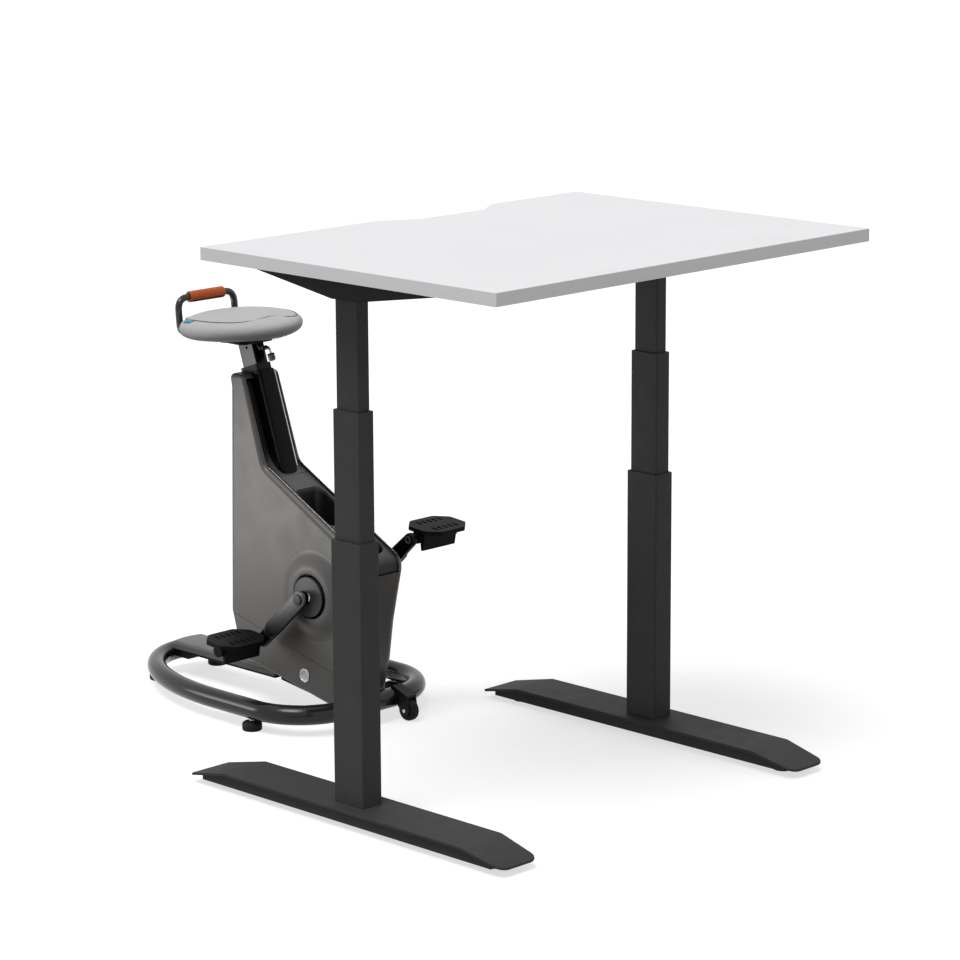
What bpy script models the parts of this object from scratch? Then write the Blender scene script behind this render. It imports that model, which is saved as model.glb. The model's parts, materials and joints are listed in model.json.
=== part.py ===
"""Height-adjustable desk with a compact exercise bike standing under its rider's side.

The desk frame has its origin on the floor under the middle of the top: X along the long side, Z up, and the
rider sits at +Y facing -Y. The bike frame has its origin on the floor under the crank. Left and right are the
rider's, so right is at -X.
"""

import math

import bmesh
import bpy
import numpy as np
from mathutils import Matrix, Vector

GAP = 0.0003
SIDES = (("right", -1), ("left", 1))

# Desk sizes
DESK_WIDTH = 1.040
DESK_DEPTH = 0.780
TOP_THICKNESS = 0.025
TOP_HEIGHT = 1.094
UNDERSIDE = TOP_HEIGHT - TOP_THICKNESS
CUTOUT_LOW_X = -0.060
CUTOUT_HIGH_X = 0.262
CUTOUT_LOW_RUN = 0.080
CUTOUT_HIGH_RUN = 0.058
CUTOUT_DEPTH = 0.044

LEG_X = DESK_WIDTH / 2 - 0.1047
LEG_Y = 0.085
FOOT_HEIGHT = 0.042
FOOT_LENGTH = 0.860
FOOT_FLAT = 0.652
FOOT_WIDTH = 0.114
FOOT_TIP_WIDTH = 0.098
FOOT_PLATE = 0.005
FOOT_TIP_HEIGHT = 0.020
FOOT_WALL_BOTTOM = 0.012
FOOT_WALL_INSET = 0.011
PAD_RADIUS = 0.020
PAD_REACH = 0.362

COLUMN_WALL = 0.002
OUTER_COLUMN = (0.050, 0.080)
MIDDLE_COLUMN = (0.040, 0.070)
INNER_COLUMN = (0.030, 0.060)
OUTER_TOP = UNDERSIDE - 0.5112
MIDDLE_TOP = UNDERSIDE - 0.2618
MIDDLE_BOTTOM = OUTER_TOP - 0.2508
INNER_TOP = UNDERSIDE - 0.0465
INNER_BOTTOM = MIDDLE_TOP - 0.2872
SCREW_BOTTOM = INNER_BOTTOM - 0.050
GUIDE_DEPTH = 0.050

BRACKET_LENGTH = 0.590
BRACKET_WIDTH = 0.042
BRACKET_FLAT = 0.066
BRACKET_SHEET = 0.0025
BRACKET_BOTTOM = UNDERSIDE - 0.053
BRACKET_TIP = UNDERSIDE - 0.0115
RAIL_OFFSET = 0.060
RAIL_SECTION = (0.040, 0.025)
RAIL_TOP = UNDERSIDE - BRACKET_SHEET - 3 * GAP
MOTOR_RADIUS = 0.021
HANDSET_X = 0.190 - DESK_WIDTH / 2
HANDSET_Y = DESK_DEPTH / 2 - 0.006
KEY_SPACING = 0.040

# Bike sizes
BIKE_X = 0.0685
BIKE_Y = 0.6575
LOOP_TUBE = 0.042
LOOP_HEIGHT = 0.045
LOOP_HALF_WIDTH = 0.205
LOOP_FRONT = -0.105
LOOP_SIDE_END = 0.160
LOOP_REAR = 0.515
LOOP_CORNER = 0.130
LOOP_REAR_POWER = 2.0
BRIDGE_WIDTH = 0.084
BRIDGE_TOP = 0.0785
BRIDGE_UNDER = 0.057
REAR_FEET_X = 0.085
SPINE_TOP = 0.063
SPINE_REAR = 0.150

CRANK_HEIGHT = 0.270
CRANK_LENGTH = 0.170
CRANK_TURN = math.radians(48)
CRANK_OFFSET = 0.100
ARM_THICKNESS = 0.020
ARM_ROOT = 0.0165
ARM_TIP = 0.0130
SPINDLE_RADIUS = 0.010
SHELL_RADIUS = 0.022
HUB_RADIUS = 0.044
HUB_OPENING = 0.048
BOSS_RADIUS = 0.083
PEDAL_WIDTH = 0.124
PEDAL_LENGTH = 0.098
PEDAL_TOP = 0.021
PEDAL_AXLE = 0.006
PEDAL_TILT = math.radians(5)

SADDLE_BASE = 0.774
POST_LEAN = math.radians(18.5)
POST_Z = SADDLE_BASE - 0.058
POST_Y = POST_Z * math.tan(POST_LEAN) - 0.0006
POST_SECTION = (0.033, 0.045)
POST_LOW = -0.190
GUIDE_SECTION = (0.0384, 0.0504)
GUIDE_BOTTOM = (0.052 - POST_Z) / math.cos(POST_LEAN)
COLLAR_SECTION = (0.043, 0.055)
COVER_WIDTH = 0.045
COVER_REACH = 0.0325
COVER_LENGTH = 0.2415

WALL = 0.0025
SHELL_REAR = POST_Y + 0.029
SHELL_TOP = POST_Z - 0.008
DECK_CORNER = (0.162, 0.520)
DECK_SLOPE = 0.527
NOSE = (-0.150, 0.3555)
NOSE_SEAM = (-0.1447, 0.3260)
FRONT_SEAM_Y = -0.1015
SEAM_AT_REAR = 0.193
SEAM_SLOPE = 0.245
SEAM_GAP = 0.0008
RIM_X = 0.0445
DECK_HALF_WIDTH = 0.0435
DECK_DROP = 0.0035

SADDLE_Y = POST_Y + 0.042
SADDLE_HALF_WIDTH = 0.142
SADDLE_FRONT = 0.130
SADDLE_BACK = 0.121
PLATE_TOP = SADDLE_BASE - GAP
PLATE_THICKNESS = 0.0035
HANDLE_TUBE = 0.015
HANDLE_Y = SADDLE_Y + SADDLE_BACK - 0.0050
HANDLE_Z = SADDLE_BASE + 0.082
HANDLE_HALF_WIDTH = 0.079
GRIP_RADIUS = 0.0122
GRIP_HALF = 0.049
LEVER_PIVOT = (POST_Y - 0.025, SADDLE_BASE - 0.0105)
LEVER_KNOB = (POST_Y - 0.053, SADDLE_BASE - 0.031)

BELT_X = -0.032
BELT_WIDTH = 0.010
DRIVE_RADIUS = 0.072
DRIVEN_RADIUS = 0.018
FLYWHEEL_Y = 0.190
FLYWHEEL_Z = 0.330
FLYWHEEL_RADIUS = 0.060
FLYWHEEL_X = 0.038
AXLE_RADIUS = 0.006

CASTER_X = 0.070
CASTER_Y = -0.1445
CASTER_RADIUS = 0.023
CASTER_WIDTH = 0.018

# The whole part sits with the middle of its plan on the origin
MIDDLE_Y = (BIKE_Y + LOOP_REAR + LOOP_TUBE / 2 - DESK_DEPTH / 2) / 2

# Finishes: colour, roughness, metallic
WHITE_BOARD = ((0.82, 0.82, 0.83), 0.45, 0.0)
DARK_PAINT = ((0.046, 0.046, 0.048), 0.55, 0.0)
BLACK_PAINT = ((0.018, 0.018, 0.019), 0.50, 0.0)
BLACK_PLASTIC = ((0.010, 0.010, 0.011), 0.45, 0.0)
GREY_PLASTIC = ((0.150, 0.146, 0.142), 0.50, 0.0)
DARK_PLASTIC = ((0.070, 0.070, 0.072), 0.45, 0.0)
LIGHT_PLASTIC = ((0.420, 0.420, 0.420), 0.45, 0.0)
BARE_STEEL = ((0.45, 0.45, 0.46), 0.35, 1.0)
DARK_STEEL = ((0.16, 0.16, 0.17), 0.40, 1.0)
GREY_TUBE = ((0.050, 0.053, 0.055), 0.35, 0.2)
LEATHER = ((0.53, 0.13, 0.03), 0.65, 0.0)
SADDLE_COVER = ((0.42, 0.44, 0.44), 0.60, 0.0)
RUBBER = ((0.012, 0.012, 0.012), 0.80, 0.0)


def clear_scene():
    for obj in list(bpy.data.objects):
        bpy.data.objects.remove(obj, do_unlink=True)


def new_collection(name):
    collection = bpy.data.collections.new(name)
    bpy.context.scene.collection.children.link(collection)
    return collection


def finish(name, colour, roughness, metallic):
    material = bpy.data.materials.new(name)
    material.use_nodes = True
    shader = material.node_tree.nodes["Principled BSDF"]
    shader.inputs["Base Color"].default_value = (*colour, 1.0)
    shader.inputs["Roughness"].default_value = roughness
    shader.inputs["Metallic"].default_value = metallic
    material.diffuse_color = (*colour, 1.0)
    return material


def frame(name, parent=None, at=(0, 0, 0), turn=(0, 0, 0)):
    empty = bpy.data.objects.new(name, None)
    PARTS.objects.link(empty)
    empty.parent = parent
    empty.location = at
    empty.rotation_euler = turn
    return empty


def place(obj, look, parent, at, turn):
    """Puts an object in its parent's frame: a part when it has a finish, else a cutter."""
    collection = PARTS if look else CUTTERS
    collection.objects.link(obj)
    obj.parent = parent
    obj.location = at
    obj.rotation_euler = turn
    if look:
        obj.data.materials.append(finish(obj.name, *look))
    else:
        obj.hide_render = True
        obj.display_type = "WIRE"
    return obj


def solid(name, bm, look, parent, at=(0, 0, 0), turn=(0, 0, 0)):
    """Turns a bmesh into a part, or into a cutter when it has no finish."""
    bmesh.ops.recalc_face_normals(bm, faces=bm.faces)
    mesh = bpy.data.meshes.new(name)
    bm.to_mesh(mesh)
    bm.free()
    return place(bpy.data.objects.new(name, mesh), look, parent, at, turn)


def turned(name, profile, look, parent, at=(0, 0, 0), along_x=False, steps=32):
    """A turned shape. The profile is (height along the axis, radius); its ends are on the axis or joined."""
    loop = [Vector((radius, height)) for height, radius in profile]
    area = sum(a.x * b.y - b.x * a.y for a, b in zip(loop, loop[1:] + loop[:1]))
    if area > 0:
        loop.reverse()
    bm = bmesh.new()
    verts = [bm.verts.new((point.x, 0, point.y)) for point in loop]
    ring = min(loop[0].x, loop[-1].x) > 0
    for a, b in zip(verts, verts[1:] + (verts[:1] if ring else [])):
        bm.edges.new((a, b))
    mesh = bpy.data.meshes.new(name)
    bm.to_mesh(mesh)
    bm.free()
    obj = place(bpy.data.objects.new(name, mesh), look, parent, at, (0, math.pi / 2 if along_x else 0, 0))
    screw = obj.modifiers.new("turned", "SCREW")
    screw.steps = screw.render_steps = steps
    screw.use_merge_vertices = True
    screw.merge_threshold = 0.00001
    return obj


def combine(obj, other, operation):
    modifier = obj.modifiers.new(other.name, "BOOLEAN")
    modifier.operation = operation
    modifier.solver = "EXACT"
    modifier.object = other


def united(name, solids, look, parent, at=(0, 0, 0), turn=(0, 0, 0)):
    """One part made of several overlapping solids."""
    obj = solid(name, solids[0], look, parent, at, turn)
    for i, other in enumerate(solids[1:], 1):
        combine(obj, solid("%s_add_%d" % (name, i), other, None, parent, at, turn), "UNION")
    return obj


def cut(obj, name, bm, parent, at=(0, 0, 0), turn=(0, 0, 0)):
    combine(obj, solid(name, bm, None, parent, at, turn), "DIFFERENCE")


def round_edges(obj, width, segments=2, angle=40):
    modifier = obj.modifiers.new("rounded edges", "BEVEL")
    modifier.width = width
    modifier.segments = segments
    modifier.limit_method = "ANGLE"
    modifier.angle_limit = math.radians(angle)


def box(low, high, bm=None):
    """A box between two corners, on its own or added to other solids."""
    bm = bm or bmesh.new()
    low, high = Vector(low), Vector(high)
    scale = Matrix.Diagonal((*(high - low), 1.0))
    bmesh.ops.create_cube(bm, size=1.0, matrix=Matrix.Translation((low + high) / 2) @ scale)
    return bm


def rod(radius, start, end, sides=24, bm=None):
    """A cylinder between two points, on its own or added to other solids."""
    bm = bm or bmesh.new()
    start, end = Vector(start), Vector(end)
    along = end - start
    turn = along.to_track_quat("Z", "Y").to_matrix().to_4x4()
    bmesh.ops.create_cone(bm, cap_ends=True, segments=sides, radius1=radius, radius2=radius,
                          depth=along.length, matrix=Matrix.Translation((start + end) / 2) @ turn)
    return bm


def fillet(corners, closed=True, steps=4):
    """Rounds the corners of an outline. Each corner is (u, v, radius)."""
    points = []
    count = len(corners)
    for i, (u, v, radius) in enumerate(corners):
        here = Vector((u, v))
        if radius <= 0 or (not closed and i in (0, count - 1)):
            points.append(here)
            continue
        before = (Vector(corners[i - 1][:2]) - here).normalized()
        after = (Vector(corners[(i + 1) % count][:2]) - here).normalized()
        half = before.angle(after) / 2
        reach = radius / math.tan(half)
        centre = here + (before + after).normalized() * (radius / math.sin(half))
        first = here + before * reach - centre
        last = here + after * reach - centre
        start = math.atan2(first.y, first.x)
        sweep = (math.atan2(last.y, last.x) - start + math.pi) % (2 * math.pi) - math.pi
        for k in range(steps + 1):
            angle = start + sweep * k / steps
            points.append(centre + Vector((math.cos(angle), math.sin(angle))) * radius)
    return points


def slab(outline, low, high, holes=()):
    """Extrudes a flat outline, with holes, from low to high along its normal."""
    curve = bpy.data.curves.new("outline", "CURVE")
    curve.dimensions = "2D"
    curve.fill_mode = "BOTH"
    curve.extrude = (high - low) / 2
    for loop in (outline, *holes):
        spline = curve.splines.new("POLY")
        spline.points.add(len(loop) - 1)
        for point, (u, v) in zip(spline.points, loop):
            point.co = (u, v, 0.0, 1.0)
        spline.use_cyclic_u = True
    holder = bpy.data.objects.new("outline", curve)
    mesh = bpy.data.meshes.new_from_object(holder)
    bpy.data.objects.remove(holder, do_unlink=True)
    bm = bmesh.new()
    bm.from_mesh(mesh)
    bmesh.ops.remove_doubles(bm, verts=bm.verts, dist=0.00001)
    bmesh.ops.translate(bm, verts=bm.verts, vec=(0, 0, (low + high) / 2))
    return bm


def stand(bm):
    """Stands a slab drawn as (y, z) up in the Y-Z plane, with its thickness along X."""
    bmesh.ops.rotate(bm, verts=bm.verts, matrix=Matrix(((0, 0, 1), (1, 0, 0), (0, 1, 0))))
    return bm


def upright(outline, low, high, holes=()):
    return stand(slab(outline, low, high, holes))


def merge(target, source):
    """Moves the solids of one bmesh into another."""
    mesh = bpy.data.meshes.new("merged")
    source.to_mesh(mesh)
    source.free()
    target.from_mesh(mesh)
    return target


def shift(bm, offset):
    bmesh.ops.translate(bm, verts=bm.verts, vec=offset)
    return bm


def rounded_rectangle(width, depth, radius, middle=(0, 0), steps=2):
    u, v = width / 2, depth / 2
    cu, cv = middle
    corners = ((cu + u, cv + v), (cu - u, cv + v), (cu - u, cv - v), (cu + u, cv - v))
    return fillet([(*corner, radius) for corner in corners], steps=steps)


def square_tube(section, wall, low, high, radius=0.003):
    """A rectangular tube standing along Z, open at both ends."""
    width, depth = section
    bore = rounded_rectangle(width - 2 * wall, depth - 2 * wall, radius - wall)
    return slab(rounded_rectangle(width, depth, radius), low, high, (bore,))


def circle(radius, middle, sides=20):
    turns = np.linspace(0, 2 * math.pi, sides, endpoint=False)
    return [(middle[0] + radius * math.cos(a), middle[1] + radius * math.sin(a)) for a in turns]


def smooth_path(corners, steps=5):
    """Rounds the corners of a path in space. Each corner is (x, y, z, radius)."""
    points = []
    for i, corner in enumerate(corners):
        here = Vector(corner[:3])
        if i in (0, len(corners) - 1) or corner[3] <= 0:
            points.append(here)
            continue
        before = (Vector(corners[i - 1][:3]) - here).normalized()
        after = (Vector(corners[i + 1][:3]) - here).normalized()
        half = before.angle(after) / 2
        reach = corner[3] / math.tan(half)
        centre = here + (before + after).normalized() * (corner[3] / math.sin(half))
        first = here + before * reach - centre
        last = here + after * reach - centre
        points += [centre + first.normalized().slerp(last.normalized(), k / steps) * corner[3]
                   for k in range(steps + 1)]
    return points


def tube(name, points, radius, look, parent, cyclic=False, resolution=4):
    """A bent round tube with closed ends."""
    curve = bpy.data.curves.new(name, "CURVE")
    curve.dimensions = "3D"
    curve.bevel_depth = radius
    curve.bevel_resolution = resolution
    curve.use_fill_caps = True
    spline = curve.splines.new("POLY")
    spline.points.add(len(points) - 1)
    for point, spot in zip(spline.points, points):
        point.co = (*spot, 1.0)
    spline.use_cyclic_u = cyclic
    return place(bpy.data.objects.new(name, curve), look, parent, (0, 0, 0), (0, 0, 0))


def desktop(lift):
    """White board with a shallow cut-out on the rider's side."""
    half, edge, inner = DESK_WIDTH / 2, DESK_DEPTH / 2, DESK_DEPTH / 2 - CUTOUT_DEPTH
    corners = (
        (-half, -edge, 0.003), (half, -edge, 0.003), (half, edge, 0.003),
        (CUTOUT_HIGH_X, edge, 0.012), (CUTOUT_HIGH_X - CUTOUT_HIGH_RUN, inner, 0.012),
        (CUTOUT_LOW_X + CUTOUT_LOW_RUN, inner, 0.012), (CUTOUT_LOW_X, edge, 0.012), (-half, edge, 0.003),
    )
    board = solid("desktop", slab(fillet(corners, steps=3), UNDERSIDE, TOP_HEIGHT), WHITE_BOARD, lift)
    round_edges(board, 0.0012)


def foot(word, parent, at):
    """Folded steel foot: a plate that slopes down to both tips, with two inset walls under it."""
    half, tip = FOOT_WIDTH / 2, FOOT_TIP_WIDTH / 2
    flat, end = FOOT_FLAT / 2, FOOT_LENGTH / 2
    under, tip_under = FOOT_HEIGHT - FOOT_PLATE, FOOT_TIP_HEIGHT - FOOT_PLATE
    plate_view = ((end, FOOT_TIP_HEIGHT), (flat, FOOT_HEIGHT), (-flat, FOOT_HEIGHT), (-end, FOOT_TIP_HEIGHT),
                  (-end, tip_under), (-flat, under), (flat, under), (end, tip_under))
    plan = fillet(((half, flat, 0), (tip, end, 0.003), (-tip, end, 0.003), (-half, flat, 0),
                   (-half, -flat, 0), (-tip, -end, 0.022), (tip, -end, 0.022), (half, -flat, 0)))
    plate = solid(word + "_foot", upright(plate_view, -half, half), DARK_PAINT, parent, at)
    combine(plate, solid(word + "_foot_plan", slab(plan, 0, 0.1), None, parent, at), "INTERSECT")

    reach = end - 0.030
    slope = (FOOT_HEIGHT - FOOT_TIP_HEIGHT) / (end - flat)
    wall_top = FOOT_HEIGHT - FOOT_PLATE / 2
    tip_top = wall_top - slope * (reach - flat)
    wall_view = ((reach, tip_top), (flat, wall_top), (-flat, wall_top), (-reach, tip_top),
                 (-reach, FOOT_WALL_BOTTOM), (reach, FOOT_WALL_BOTTOM))
    face = half - FOOT_WALL_INSET
    walls = merge(upright(wall_view, face - 0.003, face), upright(wall_view, -face, 0.003 - face))
    combine(plate, solid(word + "_foot_walls", walls, None, parent, at), "UNION")

    pad = ((0, 0), (0, PAD_RADIUS * 0.94), (0.004, PAD_RADIUS), (0.0112, PAD_RADIUS), (0.0112, 0.005),
           (0.0280, 0.005), (0.0280, 0))
    for end_word, direction in (("front", -1), ("rear", 1)):
        turned("%s_%s_pad" % (word, end_word), pad, RUBBER, parent, (at[0], at[1] + direction * PAD_REACH, 0),
               steps=16)


def guide_sleeve(around, within, top):
    """Sleeve that fills the space between two nested tubes at the mouth of the wider one."""
    outer = rounded_rectangle(*[size - 2 * (COLUMN_WALL + GAP) for size in around], 0.001)
    inner = rounded_rectangle(*[size + 2 * GAP for size in within], 0.003)
    return slab(outer, top - GUIDE_DEPTH, top - 0.0005, (inner,))


def columns(word, parent, middle, lift, at):
    """Three nested rectangular tubes with plastic guides between them."""
    base = FOOT_HEIGHT + GAP
    inside = [size / 2 - COLUMN_WALL + 0.0005 for size in OUTER_COLUMN]
    floor = box((-inside[0], -inside[1], base + 0.0005), (inside[0], inside[1], base + 0.0085))
    united(word + "_outer_column", [square_tube(OUTER_COLUMN, COLUMN_WALL, base, OUTER_TOP), floor],
           DARK_PAINT, parent, at)
    sleeve = guide_sleeve(OUTER_COLUMN, MIDDLE_COLUMN, OUTER_TOP)
    solid(word + "_lower_guide", sleeve, BLACK_PLASTIC, parent, at)
    solid(word + "_middle_column", square_tube(MIDDLE_COLUMN, COLUMN_WALL, MIDDLE_BOTTOM, MIDDLE_TOP),
          DARK_PAINT, middle, at)
    sleeve = guide_sleeve(MIDDLE_COLUMN, INNER_COLUMN, MIDDLE_TOP)
    solid(word + "_upper_guide", sleeve, BLACK_PLASTIC, middle, at)
    solid(word + "_inner_column", square_tube(INNER_COLUMN, COLUMN_WALL, INNER_BOTTOM, INNER_TOP),
          DARK_PAINT, lift, at)


def side_bracket(word, side, lift, at):
    """Bow-tie shaped channel that carries the top on its column, and the lift motor that sits in it."""
    half, flat, wall = BRACKET_LENGTH / 2, BRACKET_FLAT / 2, BRACKET_WIDTH / 2
    top = UNDERSIDE - GAP
    wall_view = ((half, top - BRACKET_SHEET / 2), (-half, top - BRACKET_SHEET / 2), (-half, BRACKET_TIP),
                 (-flat, BRACKET_BOTTOM), (flat, BRACKET_BOTTOM), (half, BRACKET_TIP))
    plate = box((-wall, -half, top - BRACKET_SHEET), (wall, half, top))
    trim = 0.00005
    walls = [upright(wall_view, wall - BRACKET_SHEET, wall - trim),
             upright(wall_view, trim - wall, BRACKET_SHEET - wall)]
    hole = rounded_rectangle(*[size + 2 * GAP for size in INNER_COLUMN], 0.003)
    web = slab(rounded_rectangle(BRACKET_WIDTH - BRACKET_SHEET, BRACKET_FLAT + 0.010, 0.001),
               BRACKET_BOTTOM + 0.001, BRACKET_BOTTOM + 0.004, (hole,))
    bracket = united(word + "_side_bracket", [plate, *walls, web], BLACK_PAINT, lift, at)
    gear_half, gear_low, gear_top = 0.026, INNER_TOP + GAP, top - BRACKET_SHEET - GAP
    near, far = sorted((-side * (wall - 0.006), -side * (wall + 0.006)))
    opening = box((near, -gear_half - 0.0005, gear_low - 0.001), (far, gear_half + 0.0005, gear_top + 0.0001))
    cut(bracket, word + "_motor_opening", opening, lift, at)

    inner = wall - BRACKET_SHEET - 0.0005
    low, high = sorted((side * inner, -side * 0.076))
    gear = box((low, -gear_half, gear_low), (high, gear_half, gear_top))
    level = (gear_low + gear_top) / 2
    motor = rod(MOTOR_RADIUS - 0.0005, (-side * 0.074, 0, level), (-side * 0.190, 0, level))
    screw = rod(0.005, (0, 0, SCREW_BOTTOM), (0, 0, gear_low + 0.001), 12)
    united(word + "_lift_motor", [gear, motor, screw], DARK_PLASTIC, lift, at)


def under_desk(lift, key_frames):
    """Cross rails, control box and the handset with its two keys, which press in along -Y."""
    reach = LEG_X - BRACKET_WIDTH / 2 - GAP
    rails = []
    for y in (LEG_Y - RAIL_OFFSET, LEG_Y + RAIL_OFFSET):
        rail = square_tube(RAIL_SECTION[::-1], 0.0018, -reach, reach)
        bmesh.ops.rotate(rail, verts=rail.verts, matrix=Matrix.Rotation(math.pi / 2, 3, "Y"))
        rails.append(shift(rail, (0, y, RAIL_TOP - RAIL_SECTION[1] / 2)))
    between = RAIL_OFFSET - RAIL_SECTION[0] / 2 + 0.001
    tie = box((-0.060, LEG_Y - between, RAIL_TOP - 0.020), (0.060, LEG_Y + between, RAIL_TOP - 0.017))
    united("cross_rails", [rails[0], tie, rails[1]], BLACK_PAINT, lift)

    top = UNDERSIDE - GAP
    case = box((-0.140, LEG_Y - 0.250, top - 0.036), (0.120, LEG_Y - 0.150, top))
    control = solid("control_box", case, BLACK_PLASTIC, lift)
    inlet = box((0.100, LEG_Y - 0.235, top - 0.030), (0.130, LEG_Y - 0.207, top - 0.010))
    cut(control, "mains_inlet", inlet, lift)
    round_edges(control, 0.002)

    low = (HANDSET_X - 0.050, HANDSET_Y - 0.055, top - 0.021)
    body = solid("handset", box(low, (HANDSET_X + 0.050, HANDSET_Y, top)), BLACK_PLASTIC, lift)
    for word, key_frame in key_frames.items():
        pocket = box((-0.0105, -0.008, -0.006), (0.0105, 0.010, 0.006))
        cut(body, word + "_key_pocket", pocket, lift, key_frame.location)
        key = box((-0.0100, -0.0050, -0.0055), (0.0100, 0.0018, 0.0055))
        round_edges(solid(word + "_key", key, LIGHT_PLASTIC, key_frame), 0.0008, 1)


def build_desk(parent):
    lift = frame("desk_lift", parent)
    desktop(lift)
    for word, side in SIDES:
        at = (side * LEG_X, LEG_Y, 0)
        middle = frame(word + "_middle_lift", parent)
        foot(word, parent, at)
        columns(word, parent, middle, lift, at)
        side_bracket(word, side, lift, at)
    key_z = UNDERSIDE - GAP - 0.0105
    keys = {word: frame(word + "_key_slide", lift, (HANDSET_X + offset * KEY_SPACING / 2, HANDSET_Y, key_z))
            for word, offset in (("up", -1), ("down", 1))}
    under_desk(lift, keys)


def loop_centre_line():
    """Base loop from above: straight sides and front, round front corners and a wide rounded rear."""
    half, front, corner = LOOP_HALF_WIDTH, LOOP_FRONT, LOOP_CORNER
    side = []
    for k in range(8):
        angle = math.radians(270 + 90 * k / 7)
        side.append((half - corner + corner * math.cos(angle), front + corner + corner * math.sin(angle)))
    run = LOOP_SIDE_END - front - corner
    side += [(half, front + corner + run * k / 3) for k in range(1, 3)]
    rear = []
    for k in range(23):
        across, back = math.cos(math.pi * k / 22), math.sin(math.pi * k / 22)
        x = half * math.copysign(abs(across) ** (2 / LOOP_REAR_POWER), across)
        rear.append((x, LOOP_SIDE_END + (LOOP_REAR - LOOP_SIDE_END) * back ** (2 / LOOP_REAR_POWER)))
    return side + rear + [(-x, y) for x, y in reversed(side)]


def rear_reach(x):
    """How far back the loop's centre line lies at a given distance from the middle."""
    share = 1 - (abs(x) / LOOP_HALF_WIDTH) ** LOOP_REAR_POWER
    return LOOP_SIDE_END + (LOOP_REAR - LOOP_SIDE_END) * share ** (1 / LOOP_REAR_POWER)


def loop_inside(x):
    """Where the loop's inner side lies, measured back along Y at a given distance from the middle."""
    slope = (rear_reach(x + 0.001) - rear_reach(x - 0.001)) / 0.002
    return rear_reach(x) - (LOOP_TUBE / 2 + 3 * GAP) * math.hypot(1, slope)


def bike_base(parent):
    """Bent tube loop on levelling feet, with the plate that bridges from the body to its rear."""
    line = [(x, y, LOOP_HEIGHT) for x, y in loop_centre_line()]
    tube("base_loop", line, LOOP_TUBE / 2, GREY_TUBE, parent, cyclic=True, resolution=4)

    half = BRIDGE_WIDTH / 2
    end = [(x, loop_inside(x)) for x in np.linspace(half, -half, 9)]
    outline = [(-half, SPINE_REAR), (half, SPINE_REAR), *end]
    bridge = solid("rear_bridge", slab(outline, BRIDGE_UNDER, BRIDGE_TOP), LIGHT_PLASTIC, parent)
    round_edges(bridge, 0.006, 3, 60)
    half -= 0.006
    front = loop_inside(0) - 0.050
    end = [(x, loop_inside(x)) for x in np.linspace(half, -half, 9)]
    block = slab([(-half, front), (half, front), *end], LOOP_HEIGHT - 0.003, BRIDGE_UNDER + 0.001)
    combine(bridge, solid("bridge_block", block, None, parent), "UNION")

    foot_view = ((0, 0), (0, 0.019), (0.0025, 0.021), (0.0125, 0.021), (0.0125, 0.006), (0.0237, 0.006),
                 (0.0237, 0))
    for word, side in SIDES:
        places = (("front", LOOP_HALF_WIDTH, 0.043), ("rear", REAR_FEET_X, rear_reach(REAR_FEET_X)))
        for end_word, x, y in places:
            name = "%s_%s_levelling_foot" % (word, end_word)
            turned(name, foot_view, RUBBER, parent, (side * x, y, 0), steps=16)


def casters(parent):
    """Transport wheels in forks clamped to the front of the loop."""
    reach = LOOP_TUBE / 2 + 0.0008
    front_of_tube = [(LOOP_FRONT - reach * math.cos(a), LOOP_HEIGHT + reach * math.sin(a))
                     for a in np.radians(np.linspace(-35, 100, 7))]
    over = [(LOOP_FRONT - 0.004, LOOP_HEIGHT + 0.0265), (CASTER_Y - 0.008, 0.055)]
    cheek = [*front_of_tube, *over, (CASTER_Y - 0.013, CASTER_RADIUS), (CASTER_Y - 0.006, 0.011),
             (CASTER_Y + 0.006, 0.011)]
    crown = [*front_of_tube[3:], *over, (CASTER_Y - 0.008, 0.050), (CASTER_Y + 0.014, 0.050)]
    inner = CASTER_WIDTH / 2 + 0.001
    wheel = CASTER_WIDTH / 2
    tyre = ((-wheel, 0.0038), (-wheel, CASTER_RADIUS - 0.003), (0.002 - wheel, CASTER_RADIUS),
            (wheel - 0.002, CASTER_RADIUS), (wheel, CASTER_RADIUS - 0.003), (wheel, 0.0038))
    for word, side in SIDES:
        at = (side * CASTER_X, 0, 0)
        pin_end = inner + 0.005
        pin = rod(0.0035, (-pin_end, CASTER_Y, CASTER_RADIUS), (pin_end, CASTER_Y, CASTER_RADIUS), 12)
        fork = [upright(crown, -inner - 0.001, inner + 0.001), upright(cheek, inner, inner + 0.003),
                upright(cheek, -inner - 0.003, -inner), pin]
        united(word + "_caster_fork", fork, BLACK_PLASTIC, parent, at)
        axle = frame(word + "_caster_axle", parent, (side * CASTER_X, CASTER_Y, CASTER_RADIUS))
        turned(word + "_caster_wheel", tyre, RUBBER, axle, along_x=True, steps=20)


def half_width(z):
    """Half the body's width at a height: a little wider towards the floor."""
    return 0.052 + (0.700 - z) * 0.024


def seam_height(y):
    return SEAM_AT_REAR - SEAM_SLOPE * (SHELL_REAR - y)


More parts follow.
